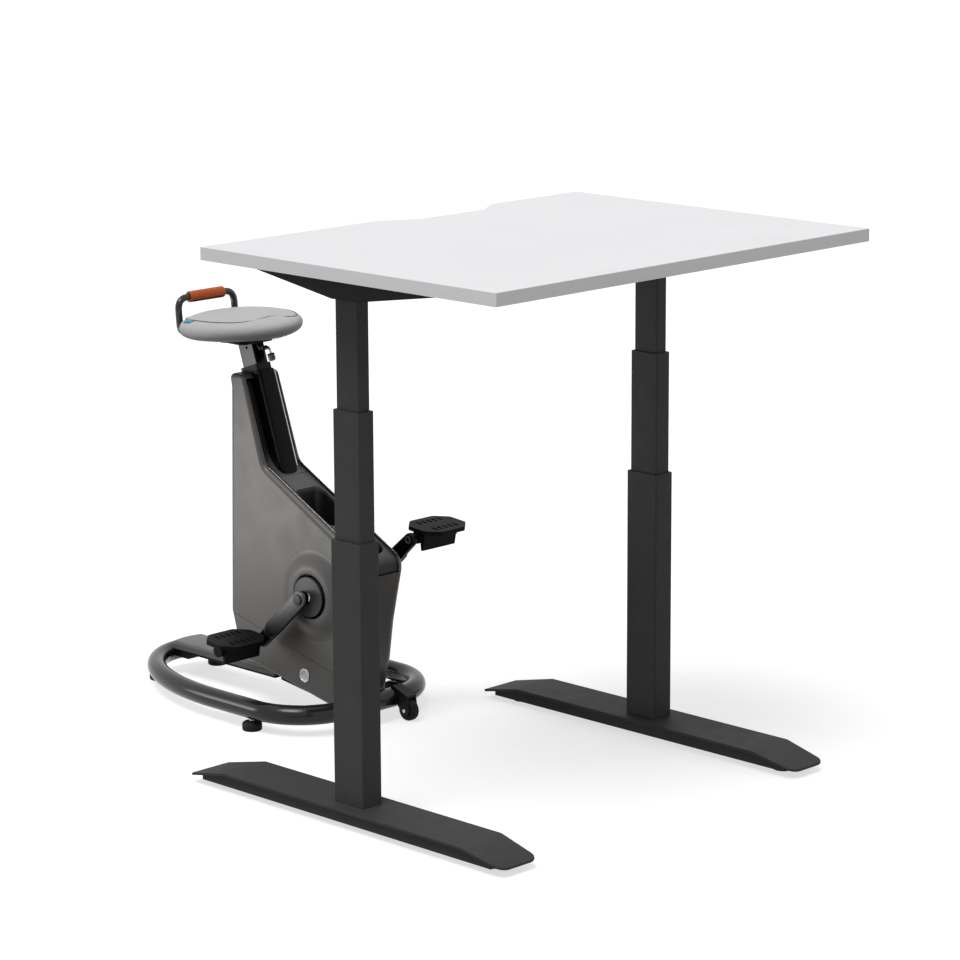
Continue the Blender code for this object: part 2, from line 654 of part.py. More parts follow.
def shell_surface(stations, centre, end_height, side):
    """Surface of half a shell along an outline in the Y-Z plane.

    A station is (y, z, corner radius, edge rounding, reaches the middle plane). Each row runs from the middle
    plane, or from the rim, over the rounded edge to the flat side.
    """
    points, owners = [], []
    for i, station in enumerate(stations):
        around = [stations[j][:3] for j in (i - 1, i, (i + 1) % len(stations))]
        rounded = station[2] > 0 and 0 < i < len(stations) - 1
        arc = fillet(around, closed=False, steps=4)[1:-1] if rounded else [Vector(station[:2])]
        points += arc
        owners += [station] * len(arc)
    bm = bmesh.new()
    rows = []
    last = len(points) - 1
    for i, (here, station) in enumerate(zip(points, owners)):
        along = (points[min(i + 1, last)] - points[max(i - 1, 0)]).normalized()
        inward = Vector((-along.y, along.x))
        rounding = station[3] or half_width(here.y) - RIM_X
        row = [bm.verts.new((side * centre, here.x, here.y))] if station[4] else []
        for k in range(5):
            angle = math.pi / 2 * k / 4
            spot = here + inward * (rounding * (1 - math.cos(angle)))
            if i in (0, last):
                spot.y = end_height(spot.x)
            x = half_width(spot.y) - rounding * (1 - math.sin(angle))
            row.append(bm.verts.new((side * x, spot.x, spot.y)))
        if station[4] and i in (0, last):
            row[0].co.z = end_height(here.x)
        rows.append(row)
    for a, b in zip(rows, rows[1:]):
        shared = min(len(a), len(b))
        a, b = a[-shared:], b[-shared:]
        for k in range(shared - 1):
            bm.faces.new((a[k], a[k + 1], b[k + 1], b[k]))
    flat_side = bm.faces.new([row[-1] for row in rows])
    bmesh.ops.recalc_face_normals(bm, faces=bm.faces)
    flat_side.normal_update()
    if flat_side.normal.x * side < 0:
        bmesh.ops.reverse_faces(bm, faces=bm.faces)
    return bm


def shell(name, bm, parent):
    mesh = bpy.data.meshes.new(name)
    bm.to_mesh(mesh)
    bm.free()
    return place(bpy.data.objects.new(name, mesh), GREY_PLASTIC, parent, (0, 0, 0), (0, 0, 0))


def thicken(obj):
    modifier = obj.modifiers.new("wall", "SOLIDIFY")
    modifier.thickness = WALL
    modifier.offset = -1
    modifier.use_even_offset = True
    modifier.use_quality_normals = True


def body_shells(parent, post):
    """Left and right upper shells, each with a raised ring round the crank."""
    rim_top = DECK_CORNER[0] + (SHELL_TOP - DECK_CORNER[1]) * math.tan(POST_LEAN)
    stations = (
        (SHELL_REAR, SEAM_AT_REAR, 0, 0.016, True), (SHELL_REAR, SHELL_TOP - 0.030, 0, 0.016, True),
        (SHELL_REAR, SHELL_TOP, 0.010, 0.0095, True),
        (rim_top, SHELL_TOP, 0.012, None, True), (*DECK_CORNER, 0.035, None, False),
        (*NOSE, 0.034, None, False), (*NOSE_SEAM, 0, None, True),
        (-0.1245, 0.213, 0.300, 0.030, True), (-0.1100, 0.128, 0.080, 0.030, True),
        (FRONT_SEAM_Y, seam_height(FRONT_SEAM_Y), 0, 0.030, True),
    )
    inner = HUB_OPENING - 0.0040
    boss = ((0.0590, inner), (0.0590, BOSS_RADIUS), (0.0630, BOSS_RADIUS), (0.0680, BOSS_RADIUS - 0.008),
            (0.0730, BOSS_RADIUS - 0.018), (0.0760, BOSS_RADIUS - 0.0255), (0.0765, 0.0550), (0.0765, inner))
    wide, front, back = COVER_WIDTH / 2 + 0.0008, COVER_REACH + 0.0035, COLLAR_SECTION[1] / 2 + 0.0008
    for word, side in SIDES:
        name = word + "_side_shell"
        half = shell(name, shell_surface(stations, GAP / 2, seam_height, side), parent)
        thicken(half)
        cut(half, word + "_post_opening", box((-wide, -front, -0.045), (wide, back, 0.030)), post)
        middle = (0, 0, CRANK_HEIGHT)
        ring = [(side * x, radius) for x, radius in boss]
        combine(half, turned(word + "_boss", ring, None, parent, middle, along_x=True, steps=36), "UNION")
        opening = rod(HUB_OPENING, (side * 0.045, 0, 0), (side * 0.095, 0, 0), 36)
        cut(half, word + "_hub_hole", opening, parent, middle)


def skirt(parent):
    """Lower skirt in one piece, open underneath."""
    def edge(y):
        return seam_height(y) - SEAM_GAP
    rear = SHELL_REAR - 0.001
    stations = (
        (FRONT_SEAM_Y + 0.0005, edge(FRONT_SEAM_Y), 0, 0.030, True), (-0.0905, 0.0700, 0.060, 0.024, True),
        (-0.0735, 0.0345, 0.010, 0.009, False), (0.2320, 0.0967, 0.012, 0.009, False),
        (0.2460, 0.1230, 0, 0.016, True), (rear, edge(rear), 0, 0.016, True),
    )
    skirt_part = shell("lower_skirt", shell_surface(stations, 0.0, edge, -1), parent)
    mirror = skirt_part.modifiers.new("other half", "MIRROR")
    mirror.merge_threshold = 0.0001
    thicken(skirt_part)


def deck_height(y):
    return DECK_CORNER[1] + DECK_SLOPE * (y - DECK_CORNER[0]) - DECK_DROP


def deck_cover(parent, post):
    """Sloping cover between the shells, with a deep bottle well and a tray near the nose."""
    well_floor, tray_floor, skin, rear = 0.385, 0.352, 0.0025, 0.150
    nose = NOSE[0] + 0.0030
    top = fillet(((rear, deck_height(rear), 0), (nose, deck_height(nose), 0.031),
                  (NOSE_SEAM[0] + DECK_DROP, NOSE_SEAM[1] + 0.002, 0)), closed=False, steps=5)
    under = [(-0.1390, NOSE_SEAM[1] + 0.002), (-0.1160, tray_floor - skin), (-0.0220, tray_floor - skin),
             (-0.0220, well_floor - skin), (0.1100, well_floor - skin), (rear, deck_height(rear) - 0.006)]
    deck = solid("deck_cover", upright(top + under, -DECK_HALF_WIDTH, DECK_HALF_WIDTH), DARK_PLASTIC, parent)
    well = slab(rounded_rectangle(0.078, 0.114, 0.018, (0, 0.0310), steps=4), well_floor, 0.60)
    tray = slab(rounded_rectangle(0.078, 0.088, 0.028, (0, -0.0760), steps=4), tray_floor, 0.60)
    cut(deck, "bottle_well", well, parent)
    cut(deck, "tray_recess", tray, parent)
    width, reach = COVER_WIDTH / 2 + 0.0008, COVER_REACH + 0.0008
    cut(deck, "cover_notch", box((-width, -reach, -COVER_LENGTH - 0.0008), (width, 0.060, 0.0)), post)
    width, reach = GUIDE_SECTION[0] / 2 + 0.0008, GUIDE_SECTION[1] / 2 + 0.0008
    cut(deck, "guide_notch", box((-width, -reach, -0.45), (width, 0.060, -COVER_LENGTH)), post)


def channel(parent, post):
    """Black trough between the shells, and the slide cover over the guide tube in it."""
    side, sheet, front = DECK_HALF_WIDTH, 0.0018, -0.0068
    back = GUIDE_SECTION[1] / 2 + GAP
    section = [(-side, front), (-side + sheet, front), (-side + sheet, back), (side - sheet, back),
               (side - sheet, front), (side, front), (side, back + sheet), (-side, back + sheet)]
    solid("channel_liner", slab(section, -0.205, -0.0165), BLACK_PLASTIC, post)

    half = COVER_WIDTH / 2
    body = box((-half, -COVER_REACH, -COVER_LENGTH), (half, 0.012, -0.0085))
    cover = solid("slide_cover", body, BLACK_PLASTIC, post)
    round_edges(cover, 0.006, 3)
    wide, deep = GUIDE_SECTION[0] / 2 + GAP, GUIDE_SECTION[1] / 2 + GAP
    cut(cover, "cover_pocket", box((-wide, -deep, -0.30), (wide, 0.04, 0.02)), post)


def main_frame(parent, post):
    """Welded frame: spine, leaning guide tube, crank shell and its struts, and the flywheel plates."""
    front = LOOP_FRONT + LOOP_TUBE / 2 + 0.0006
    rise = SPINE_TOP - LOOP_HEIGHT
    spine_view = ((front, 0.033), (0.020, 0.033), (SPINE_REAR - GAP, 0.051), (SPINE_REAR - GAP, 0.0535 + rise),
                  (0.020, SPINE_TOP), (front, SPINE_TOP))
    spine = upright(spine_view, -0.025, 0.025)
    frame_part = solid("main_frame", spine, BLACK_PAINT, parent)
    guide = square_tube(GUIDE_SECTION, 0.002, GUIDE_BOTTOM, 0.0)
    combine(frame_part, solid("guide_tube", guide, None, post), "UNION")
    stem = box((-0.012, -0.012, SPINE_TOP - 0.005), (0.012, 0.012, CRANK_HEIGHT - SHELL_RADIUS + 0.003))
    strut = box((-0.010, SHELL_RADIUS - 0.003, CRANK_HEIGHT - 0.009), (0.010, 0.0665, CRANK_HEIGHT + 0.009))
    outline = fillet(((0.080, 0.285, 0.008), (FLYWHEEL_Y + 0.012, FLYWHEEL_Z - 0.018, 0.010),
                      (FLYWHEEL_Y + 0.014, FLYWHEEL_Z + 0.014, 0.010), (0.095, 0.375, 0.008)))
    hole = circle(AXLE_RADIUS + GAP, (FLYWHEEL_Y, FLYWHEEL_Z))
    inner = GUIDE_SECTION[0] / 2 - 0.001
    plates = [upright(outline, inner, inner + 0.003, (hole,)),
              upright(outline, -inner - 0.003, -inner, (hole,))]
    for i, piece in enumerate((stem, strut, *plates)):
        combine(frame_part, solid("frame_piece_%d" % i, piece, None, parent), "UNION")
    ring = ((-0.025, 0.0150), (-0.025, SHELL_RADIUS), (0.025, SHELL_RADIUS), (0.025, 0.0150))
    combine(frame_part, turned("crank_shell", ring, None, parent, (0, 0, CRANK_HEIGHT), True, 28), "UNION")
    bore = rod(0.0172 + GAP, (-0.030, 0, CRANK_HEIGHT), (0.030, 0, CRANK_HEIGHT), 28)
    cut(frame_part, "crank_shell_bore", bore, parent)

    inside = SPINDLE_RADIUS + GAP
    cartridge = ((-0.0245, inside), (-0.0245, 0.0170), (0.0245, 0.0170), (0.0245, inside))
    turned("crank_bearing", cartridge, BARE_STEEL, parent, (0, 0, CRANK_HEIGHT), True, 28)


def post_collar(post):
    """Cap on the guide tube's mouth that the seat post slides through."""
    outer = rounded_rectangle(*COLLAR_SECTION, 0.006)
    pocket = rounded_rectangle(*[size + 2 * GAP for size in GUIDE_SECTION], 0.003)
    bore = rounded_rectangle(*[size + 2 * GAP for size in POST_SECTION], 0.003)
    collar = solid("post_collar", slab(outer, -0.008, 0.006), BLACK_PLASTIC, post)
    cut(collar, "collar_pocket", slab(pocket, -0.020, GAP), post)
    cut(collar, "collar_bore", slab(bore, -0.03, 0.03), post)


def seat_post(slide, seat):
    """Rectangular steel post with the seat plate welded on its top, and lugs for the release lever."""
    under = PLATE_TOP - PLATE_THICKNESS
    steel = solid("seat_post", square_tube(POST_SECTION, 0.002, POST_LOW, 0.085), BLACK_PAINT, slide)
    above = box((-0.1, SADDLE_Y - 0.18, under + 0.001), (0.1, SADDLE_Y + 0.22, under + 0.2))
    cut(steel, "post_trim", above, seat)
    cut(steel, "post_hole", rod(0.0030, (-0.03, -0.0035, 0.0452), (0.03, -0.0035, 0.0452), 16), slide)
    plate = slab(rounded_rectangle(0.150, 0.135, 0.020, (0, SADDLE_Y - 0.009), steps=3), under, PLATE_TOP)
    combine(steel, solid("seat_plate", plate, None, seat), "UNION")
    lugs = bmesh.new()
    y, z = LEVER_PIVOT
    for side in (-1, 1):
        low, high = sorted((side * 0.0065, side * 0.0090))
        box((low, y - 0.005, z - 0.005), (high, y + 0.005, under + 0.001), lugs)
    combine(steel, solid("lever_lugs", lugs, None, seat), "UNION")


def saddle_plan(angle):
    """Plan of the saddle: wide and round at the back, narrower at the front."""
    across, along = math.cos(angle), math.sin(angle)
    power = 2 / 2.1
    x = SADDLE_HALF_WIDTH * math.copysign(abs(across) ** power, across)
    y = (SADDLE_BACK if along > 0 else SADDLE_FRONT) * math.copysign(abs(along) ** power, along)
    if along < 0:
        x *= 1 - 0.26 * along ** 2
    return x, y


def nose_lift(y, share, height):
    """How far the rim rises towards the nose, most of it on its underside; it drops a little behind."""
    amount = 0.0040 + 0.0050 * (1 - height / 0.0575) if y < 0 else 0.0020
    return -amount * y / SADDLE_FRONT * max(share - 0.70, 0) / 0.30


def saddle(seat):
    """Puffy cushion: drawn-in underside, bulging side, a seam groove round the top panel and a low crown."""
    rows = ((0.700, 0.0000), (0.860, 0.0060), (0.945, 0.0115), (0.985, 0.0195), (1.000, 0.0290),
            (0.988, 0.0380), (0.955, 0.0450), (0.932, 0.0466), (0.915, 0.0496), (0.780, 0.0545),
            (0.520, 0.0568), (0.240, 0.0575))
    sides = 40
    bm = bmesh.new()
    rings = []
    for share, height in rows:
        plan = [saddle_plan(2 * math.pi * k / sides) for k in range(sides)]
        ring = []
        for x, y in plan:
            rise = nose_lift(y * share, share, height)
            ring.append(bm.verts.new((x * share, y * share, height + rise)))
        rings.append(ring)
    for lower, upper in zip(rings, rings[1:]):
        for k in range(sides):
            bm.faces.new((lower[k], lower[(k + 1) % sides], upper[(k + 1) % sides], upper[k]))
    bm.faces.new(rings[0][::-1])
    bm.faces.new(rings[-1])
    solid("saddle", bm, SADDLE_COVER, seat, (0, SADDLE_Y, SADDLE_BASE))


def carry_handle(seat):
    """Bent tube handle behind the saddle with a leather grip."""
    low = PLATE_TOP - PLATE_THICKNESS - GAP - HANDLE_TUBE / 2
    side = HANDLE_HALF_WIDTH
    start, bend = SADDLE_Y - 0.019, SADDLE_Y + 0.074
    half = ((-0.038, start, low, 0), (-0.065, bend, low, 0.016),
            (-side, HANDLE_Y - 0.006, low + 0.0166, 0.016), (-side, HANDLE_Y, HANDLE_Z, 0.026))
    other = tuple((-x, y, z, radius) for x, y, z, radius in reversed(half))
    tube("carry_handle", smooth_path(half + other), HANDLE_TUBE / 2, BLACK_PAINT, seat, resolution=3)
    bore = HANDLE_TUBE / 2 + GAP
    grip = ((-GRIP_HALF, bore), (-GRIP_HALF, GRIP_RADIUS - 0.002), (0.002 - GRIP_HALF, GRIP_RADIUS),
            (GRIP_HALF - 0.002, GRIP_RADIUS), (GRIP_HALF, GRIP_RADIUS - 0.002), (GRIP_HALF, bore))
    turned("handle_grip", grip, LEATHER, seat, (0, HANDLE_Y, HANDLE_Z), along_x=True, steps=20)


def height_lever(lever):
    """Release lever in front of the post: a short steel rod with a knob."""
    end = Vector((0, LEVER_KNOB[0] - LEVER_PIVOT[0], LEVER_KNOB[1] - LEVER_PIVOT[1]))
    pin = rod(0.0040, (-0.0062, 0, 0), (0.0062, 0, 0), 12)
    stem = rod(0.0025, (0, 0, 0), end, 12)
    knob = rod(0.0065, end * 0.72, end * 1.25, 20)
    united("height_lever", [pin, stem, knob], GREY_PLASTIC, lever)


def arm_view(direction):
    """Crank arm from the side, as (y, z): two circles joined by their tangents."""
    lean = math.asin((ARM_ROOT - ARM_TIP) / CRANK_LENGTH)
    points = []
    for k in range(13):
        angle = math.pi - lean + (math.pi + 2 * lean) * k / 12
        points.append((ARM_ROOT * math.cos(angle), ARM_ROOT * math.sin(angle)))
    for k in range(13):
        angle = lean + (math.pi - 2 * lean) * k / 12
        points.append((ARM_TIP * math.cos(angle), CRANK_LENGTH + ARM_TIP * math.sin(angle)))
    return [(y, direction * z) for y, z in points]


def crank(axis, pedal_axes):
    """Spindle, hub discs, arms with their pedal axles, and the drive pulley."""
    end = CRANK_OFFSET + ARM_THICKNESS / 2 + 0.003
    solid("crank_spindle", rod(SPINDLE_RADIUS, (-end, 0, 0), (end, 0, 0), 28), BARE_STEEL, axis)
    inner = SPINDLE_RADIUS + GAP
    disc = ((0.0640, inner), (0.0640, HUB_RADIUS), (0.0762, HUB_RADIUS), (0.0770, HUB_RADIUS - 0.0018),
            (0.0742, 0.0330), (0.0732, 0.0180), (0.0770, 0.0150), (0.0770, inner))
    face = CRANK_OFFSET + ARM_THICKNESS / 2
    for word, side in SIDES:
        view = [(side * x, radius) for x, radius in disc]
        turned(word + "_hub_disc", view, GREY_PLASTIC, axis, along_x=True, steps=28)
        arm = upright(arm_view(-side), -ARM_THICKNESS / 2, ARM_THICKNESS / 2)
        arm = solid(word + "_crank_arm", arm, BLACK_PAINT, axis, (side * CRANK_OFFSET, 0, 0))
        round_edges(arm, 0.006, 2)
        cut(arm, word + "_arm_bore", rod(inner, (side * 0.080, 0, 0), (side * 0.120, 0, 0), 28), axis)
        at = -side * CRANK_LENGTH
        axle = rod(PEDAL_AXLE, (side * (face - 0.004), 0, at), (side * (face + PEDAL_WIDTH - 0.022), 0, at), 16)
        combine(arm, solid(word + "_pedal_axle", axle, None, axis), "UNION")
        pedal(word + "_pedal", pedal_axes[word], side)

    rim = BELT_WIDTH / 2 + 0.001
    wheel = ((BELT_X - rim, inner), (BELT_X - rim, DRIVE_RADIUS - 0.002), (BELT_X - rim + 0.001, DRIVE_RADIUS),
             (BELT_X + rim - 0.001, DRIVE_RADIUS), (BELT_X + rim, DRIVE_RADIUS - 0.002), (BELT_X + rim, inner))
    turned("drive_pulley", wheel, DARK_PLASTIC, axis, along_x=True, steps=28)


def pedal(name, axis, side):
    """Platform with two rows of slots, a barrel round the axle and a deep front lip."""
    low, high = sorted((side * 0.0020, side * (0.0020 + PEDAL_WIDTH)))
    half = PEDAL_LENGTH / 2
    chamfer, rise = 0.028, 0.026
    plan = fillet(((high, half - rise, 0.010), (high - chamfer, half, 0.016), (low + chamfer, half, 0.016),
                   (low, half - rise, 0.010), (low, rise - half, 0.010), (low + chamfer, -half, 0.010),
                   (high - chamfer, -half, 0.010), (high, rise - half, 0.010)), steps=3)
    inner, outer = side * 0.0020, side * (0.0020 + PEDAL_WIDTH)
    barrel = rod(0.0135, (inner + side * 0.001, 0, 0.001), (outer - side * 0.012, 0, 0.001), 16)
    lip_view = ((0.029 - half, 0.0180), (0.046 - half, 0.0180), (0.039 - half, -0.0260),
                (0.0335 - half, -0.0260))
    lip_ends = sorted((inner + side * 0.007, outer - side * 0.021))
    lip = upright(lip_view, lip_ends[0], lip_ends[1])
    turn = (PEDAL_TILT, 0, 0)
    pieces = [slab(plan, PEDAL_TOP - 0.0090, PEDAL_TOP), barrel, lip]
    body = united(name, pieces, BLACK_PLASTIC, axis, turn=turn)
    slots = bmesh.new()
    for row in (-0.0240, 0.0240):
        for k in range(5):
            x = low + PEDAL_WIDTH * (0.26 + 0.12 * k)
            box((x - 0.0028, row - 0.0085, 0.010), (x + 0.0028, row + 0.0085, 0.040), slots)
    cut(body, name + "_slots", slots, axis, turn=turn)
    bore = rod(PEDAL_AXLE + GAP, (inner - side * 0.01, 0, 0), (outer - side * 0.020, 0, 0), 16)
    cut(body, name + "_bore", bore, axis)


def flywheel(axis):
    """Flywheel on its axle, with the small pulley at the axle's other end."""
    middle, half = FLYWHEEL_X, 0.008
    small, rim = BELT_X, BELT_WIDTH / 2 + 0.001
    profile = (
        (small - rim - 0.003, 0), (small - rim - 0.003, AXLE_RADIUS), (small - rim, AXLE_RADIUS),
        (small - rim, DRIVEN_RADIUS), (small + rim, DRIVEN_RADIUS), (small + rim, AXLE_RADIUS),
        (middle - half, AXLE_RADIUS), (middle - half, 0.016), (middle - half + 0.004, 0.018),
        (middle - half + 0.004, 0.044), (middle - half, 0.046), (middle - half, FLYWHEEL_RADIUS),
        (middle + half, FLYWHEEL_RADIUS), (middle + half, 0.046), (middle + half - 0.004, 0.044),
        (middle + half - 0.004, 0.018), (middle + half, 0.016), (middle + half, 0),
    )
    turned("flywheel", profile, DARK_STEEL, axis, along_x=True, steps=24)


def drive_belt(parent):
    """Flat belt round the drive pulley and the small pulley."""
    along = Vector((FLYWHEEL_Y, FLYWHEEL_Z - CRANK_HEIGHT))
    heading = math.atan2(along.y, along.x)

    def loop(grow):
        big, small = DRIVE_RADIUS + grow, DRIVEN_RADIUS + grow
        lean = math.acos((big - small) / along.length)
        turns = np.linspace(lean, 2 * math.pi - lean, 23)
        points = [(big * math.cos(heading + a), CRANK_HEIGHT + big * math.sin(heading + a)) for a in turns]
        turns = np.linspace(-lean, lean, 9)
        turned_back = [(small * math.cos(heading + a), small * math.sin(heading + a)) for a in turns]
        return points + [(FLYWHEEL_Y + y, FLYWHEEL_Z + z) for y, z in turned_back]
    half = BELT_WIDTH / 2
    solid("drive_belt", upright(loop(0.0024), BELT_X - half, BELT_X + half, (loop(0.0008),)), RUBBER, parent)


def build_bike(root):
    bike = frame("bike", root, (BIKE_X, BIKE_Y, 0))
    post = frame("post_axis", bike, (0, POST_Y, POST_Z), (-POST_LEAN, 0, 0))
    slide = frame("seat_slide", bike, (0, POST_Y, POST_Z), (-POST_LEAN, 0, 0))
    seat = frame("seat", slide)
    seat.matrix_basis = Matrix.Rotation(POST_LEAN, 4, "X") @ Matrix.Translation((0, -POST_Y, -POST_Z))
    lever = frame("lever_pivot", seat, (0, *LEVER_PIVOT))
    turn = math.pi + CRANK_TURN
    crank_axis = frame("crank_axis", bike, (0, 0, CRANK_HEIGHT), (turn, 0, 0))
    face = CRANK_OFFSET + ARM_THICKNESS / 2
    pedal_axes = {word: frame(word + "_pedal_axis", crank_axis,
                              (side * face, 0, -side * CRANK_LENGTH), (-turn, 0, 0))
                  for word, side in SIDES}
    flywheel_axis = frame("flywheel_axis", bike, (0, FLYWHEEL_Y, FLYWHEEL_Z))

    bike_base(bike)
    casters(bike)
    main_frame(bike, post)
    body_shells(bike, post)
    skirt(bike)
    deck_cover(bike, post)
    channel(bike, post)
    post_collar(post)
    seat_post(slide, seat)
    saddle(seat)
    carry_handle(seat)
    height_lever(lever)
    crank(crank_axis, pedal_axes)
    flywheel(flywheel_axis)
    drive_belt(bike)


clear_scene()
PARTS = new_collection("bike_trainer_desk")
CUTTERS = new_collection("cutters")
ROOT = frame("bike_trainer_desk", None, (0, -MIDDLE_Y, 0))
build_desk(frame("desk", ROOT))
build_bike(ROOT)
bpy.context.view_layer.update()
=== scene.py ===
import json
import math

import bmesh
import bpy
import numpy as np
from mathutils import Matrix, Vector


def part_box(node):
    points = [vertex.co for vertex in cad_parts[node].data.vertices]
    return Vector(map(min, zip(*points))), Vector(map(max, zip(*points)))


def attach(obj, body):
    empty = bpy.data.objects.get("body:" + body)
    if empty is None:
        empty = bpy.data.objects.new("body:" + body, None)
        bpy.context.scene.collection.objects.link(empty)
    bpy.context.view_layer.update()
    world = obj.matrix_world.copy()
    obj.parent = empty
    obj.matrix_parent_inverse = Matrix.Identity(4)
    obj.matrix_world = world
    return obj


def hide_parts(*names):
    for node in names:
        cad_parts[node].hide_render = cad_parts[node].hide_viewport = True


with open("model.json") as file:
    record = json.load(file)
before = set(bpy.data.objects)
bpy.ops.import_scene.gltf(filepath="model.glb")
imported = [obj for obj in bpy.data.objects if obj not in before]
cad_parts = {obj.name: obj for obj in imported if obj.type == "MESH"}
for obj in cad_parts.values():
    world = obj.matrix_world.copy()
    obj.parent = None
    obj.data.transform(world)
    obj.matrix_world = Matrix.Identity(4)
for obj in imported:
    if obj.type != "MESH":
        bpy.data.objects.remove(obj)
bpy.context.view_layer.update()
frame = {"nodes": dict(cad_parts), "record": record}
BODY_OF = {node: body for body, nodes in frame["record"]["behaviour"]["bodies"].items() for node in nodes}

# Places, in metres, in the frame of the solids


def middle(node):
    low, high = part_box(node)
    return (np.array(low) + np.array(high)) / 2


# The bike's own origin lies on the floor under the crank
BIKE = np.array([middle("crank_spindle")[0], middle("crank_spindle")[1], 0.0])
CRANK_HEIGHT = 0.270
CRANK_AXIS = BIKE + (0, 0, CRANK_HEIGHT)
CRANK_TURN = math.radians(42)
CRANK_LENGTH = 0.170
LEAN = math.radians(18.5)
LEAN_TURN = np.array([[1, 0, 0], [0, math.cos(LEAN), math.sin(LEAN)], [0, -math.sin(LEAN), math.cos(LEAN)]])
POST_TOP = (0, 0.239, 0.716)
DECK_Y, DECK_Z, DECK_SLOPE, DECK_DROP = 0.162, 0.520, 0.527, 0.0035
SIDE_SLOPE = 0.024
LOOP_TUBE, LOOP_HEIGHT = 0.042, 0.045
LOOP_HALF, LOOP_FRONT, LOOP_SIDE_END, LOOP_REAR, LOOP_CORNER = 0.205, -0.105, 0.160, 0.515, 0.130
SADDLE_Y, SADDLE_BASE = 0.281, 0.774
SADDLE_HALF, SADDLE_BACK, SADDLE_FRONT = 0.142, 0.121, 0.130
HANDLE_Y, HANDLE_Z, HANDLE_HALF = 0.397, 0.856, 0.079
GRIP_HALF, GRIP_RADIUS = 0.049, 0.0122
SIDES = (("right", -1), ("left", 1))


# Surfaces

def keep(name, mesh, body, look, smooth=True):
    """Gives a finished mesh its object, body and finish."""
    if smooth:
        mesh.polygons.foreach_set("use_smooth", np.ones(len(mesh.polygons), bool))
    mesh.materials.append(look)
    piece = bpy.data.objects.new(name, mesh)
    bpy.context.scene.collection.objects.link(piece)
    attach(piece, body)
    return piece


def outward(mesh):
    """Merges doubles and turns every face of a closed surface outwards."""
    bm = bmesh.new()
    bm.from_mesh(mesh)
    bmesh.ops.remove_doubles(bm, verts=bm.verts, dist=2e-6)
    bmesh.ops.recalc_face_normals(bm, faces=bm.faces)
    bm.to_mesh(mesh)
    bm.free()
    return mesh


def grid_faces(rows, columns, wrap_rows, wrap_columns, start=0):
    """Quads between neighbours of a grid of points, numbered row by row."""
    r = np.arange(rows if wrap_rows else rows - 1)[:, None]
    c = np.arange(columns if wrap_columns else columns - 1)[None, :]
    nr, nc = (r + 1) % rows, (c + 1) % columns
    quads = np.stack([r * columns + c, r * columns + nc, nr * columns + nc, nr * columns + c], axis=-1)
    return (quads.reshape(-1, 4) + start).tolist()


def surface(grid, wrap_rows=False):
    """Mesh of a grid of points (rows, columns, 3) that closes round its columns.

    Unless the rows close too, a fan to their middle closes the first and the last row.
    """
    grid = np.asarray(grid, float)
    rows, columns = grid.shape[:2]
    points = grid.reshape(-1, 3)
    faces = grid_faces(rows, columns, wrap_rows, True)
    if not wrap_rows:
        points = np.vstack([points, grid[0].mean(0), grid[-1].mean(0)])
        ring = np.arange(columns)
        after = (ring + 1) % columns
        last = (rows - 1) * columns
        first_cap = np.stack([np.full(columns, rows * columns), after, ring], axis=1)
        last_cap = np.stack([np.full(columns, rows * columns + 1), last + ring, last + after], axis=1)
        faces += first_cap.tolist() + last_cap.tolist()
    mesh = bpy.data.meshes.new("surface")
    mesh.from_pydata(points.tolist(), [], faces)
    return outward(mesh)


def joined(meshes):
    """One mesh of several separate ones."""
    bm = bmesh.new()
    for mesh in meshes:
        bm.from_mesh(mesh)
        bpy.data.meshes.remove(mesh)
    mesh = bpy.data.meshes.new("joined")
    bm.to_mesh(mesh)
    bm.free()
    return mesh


def turned(profile, centre, axis="x", around=96):
    """Profile of (distance along the axis, radius) turned about the x or z axis through the centre."""
    profile = np.asarray(profile, float)
    angle = np.linspace(0, 2 * math.pi, around, endpoint=False)
    along = np.repeat(profile[:, :1], around, axis=1)
    a = profile[:, 1:] * np.cos(angle)
    b = profile[:, 1:] * np.sin(angle)
    order = {"x": (along, a, b), "z": (a, b, along)}[axis]
    return surface(np.stack(order, axis=-1) + np.asarray(centre, float), wrap_rows=True)


def rounded_profile(corners, steps=6):
    """Line through corners (a, b, radius), each corner replaced by a circular arc sampled by angle."""
    points = []
    count = len(corners)
    for i, (a, b, radius) in enumerate(corners):
        here = np.array([a, b], float)
        if radius <= 0:
            points.append(here)
            continue
        before = np.array(corners[i - 1][:2], float) - here
        after = np.array(corners[(i + 1) % count][:2], float) - here
        before, after = before / np.linalg.norm(before), after / np.linalg.norm(after)
        half = math.acos(np.clip(before @ after, -1, 1)) / 2
        reach = radius / math.tan(half)
        centre = here + (before + after) / np.linalg.norm(before + after) * radius / math.sin(half)
        start, end = here + before * reach - centre, here + after * reach - centre
        a0 = math.atan2(start[1], start[0])
        sweep = (math.atan2(end[1], end[0]) - a0 + math.pi) % (2 * math.pi) - math.pi
        angles = a0 + np.linspace(0, sweep, steps)
        points += list(centre + radius * np.stack([np.cos(angles), np.sin(angles)], axis=1))
    return np.array(points)


def resampled(points, count, closed=False):
    """Points at even distances along a line."""
    points = np.asarray(points, float)
    if closed:
        points = np.vstack([points, points[:1]])
    steps = np.linalg.norm(np.diff(points, axis=0), axis=1)
    length = np.concatenate([[0], np.cumsum(steps)])
    at = np.linspace(0, length[-1], count, endpoint=not closed)
    return np.stack([np.interp(at, length, points[:, k]) for k in range(points.shape[1])], axis=1)


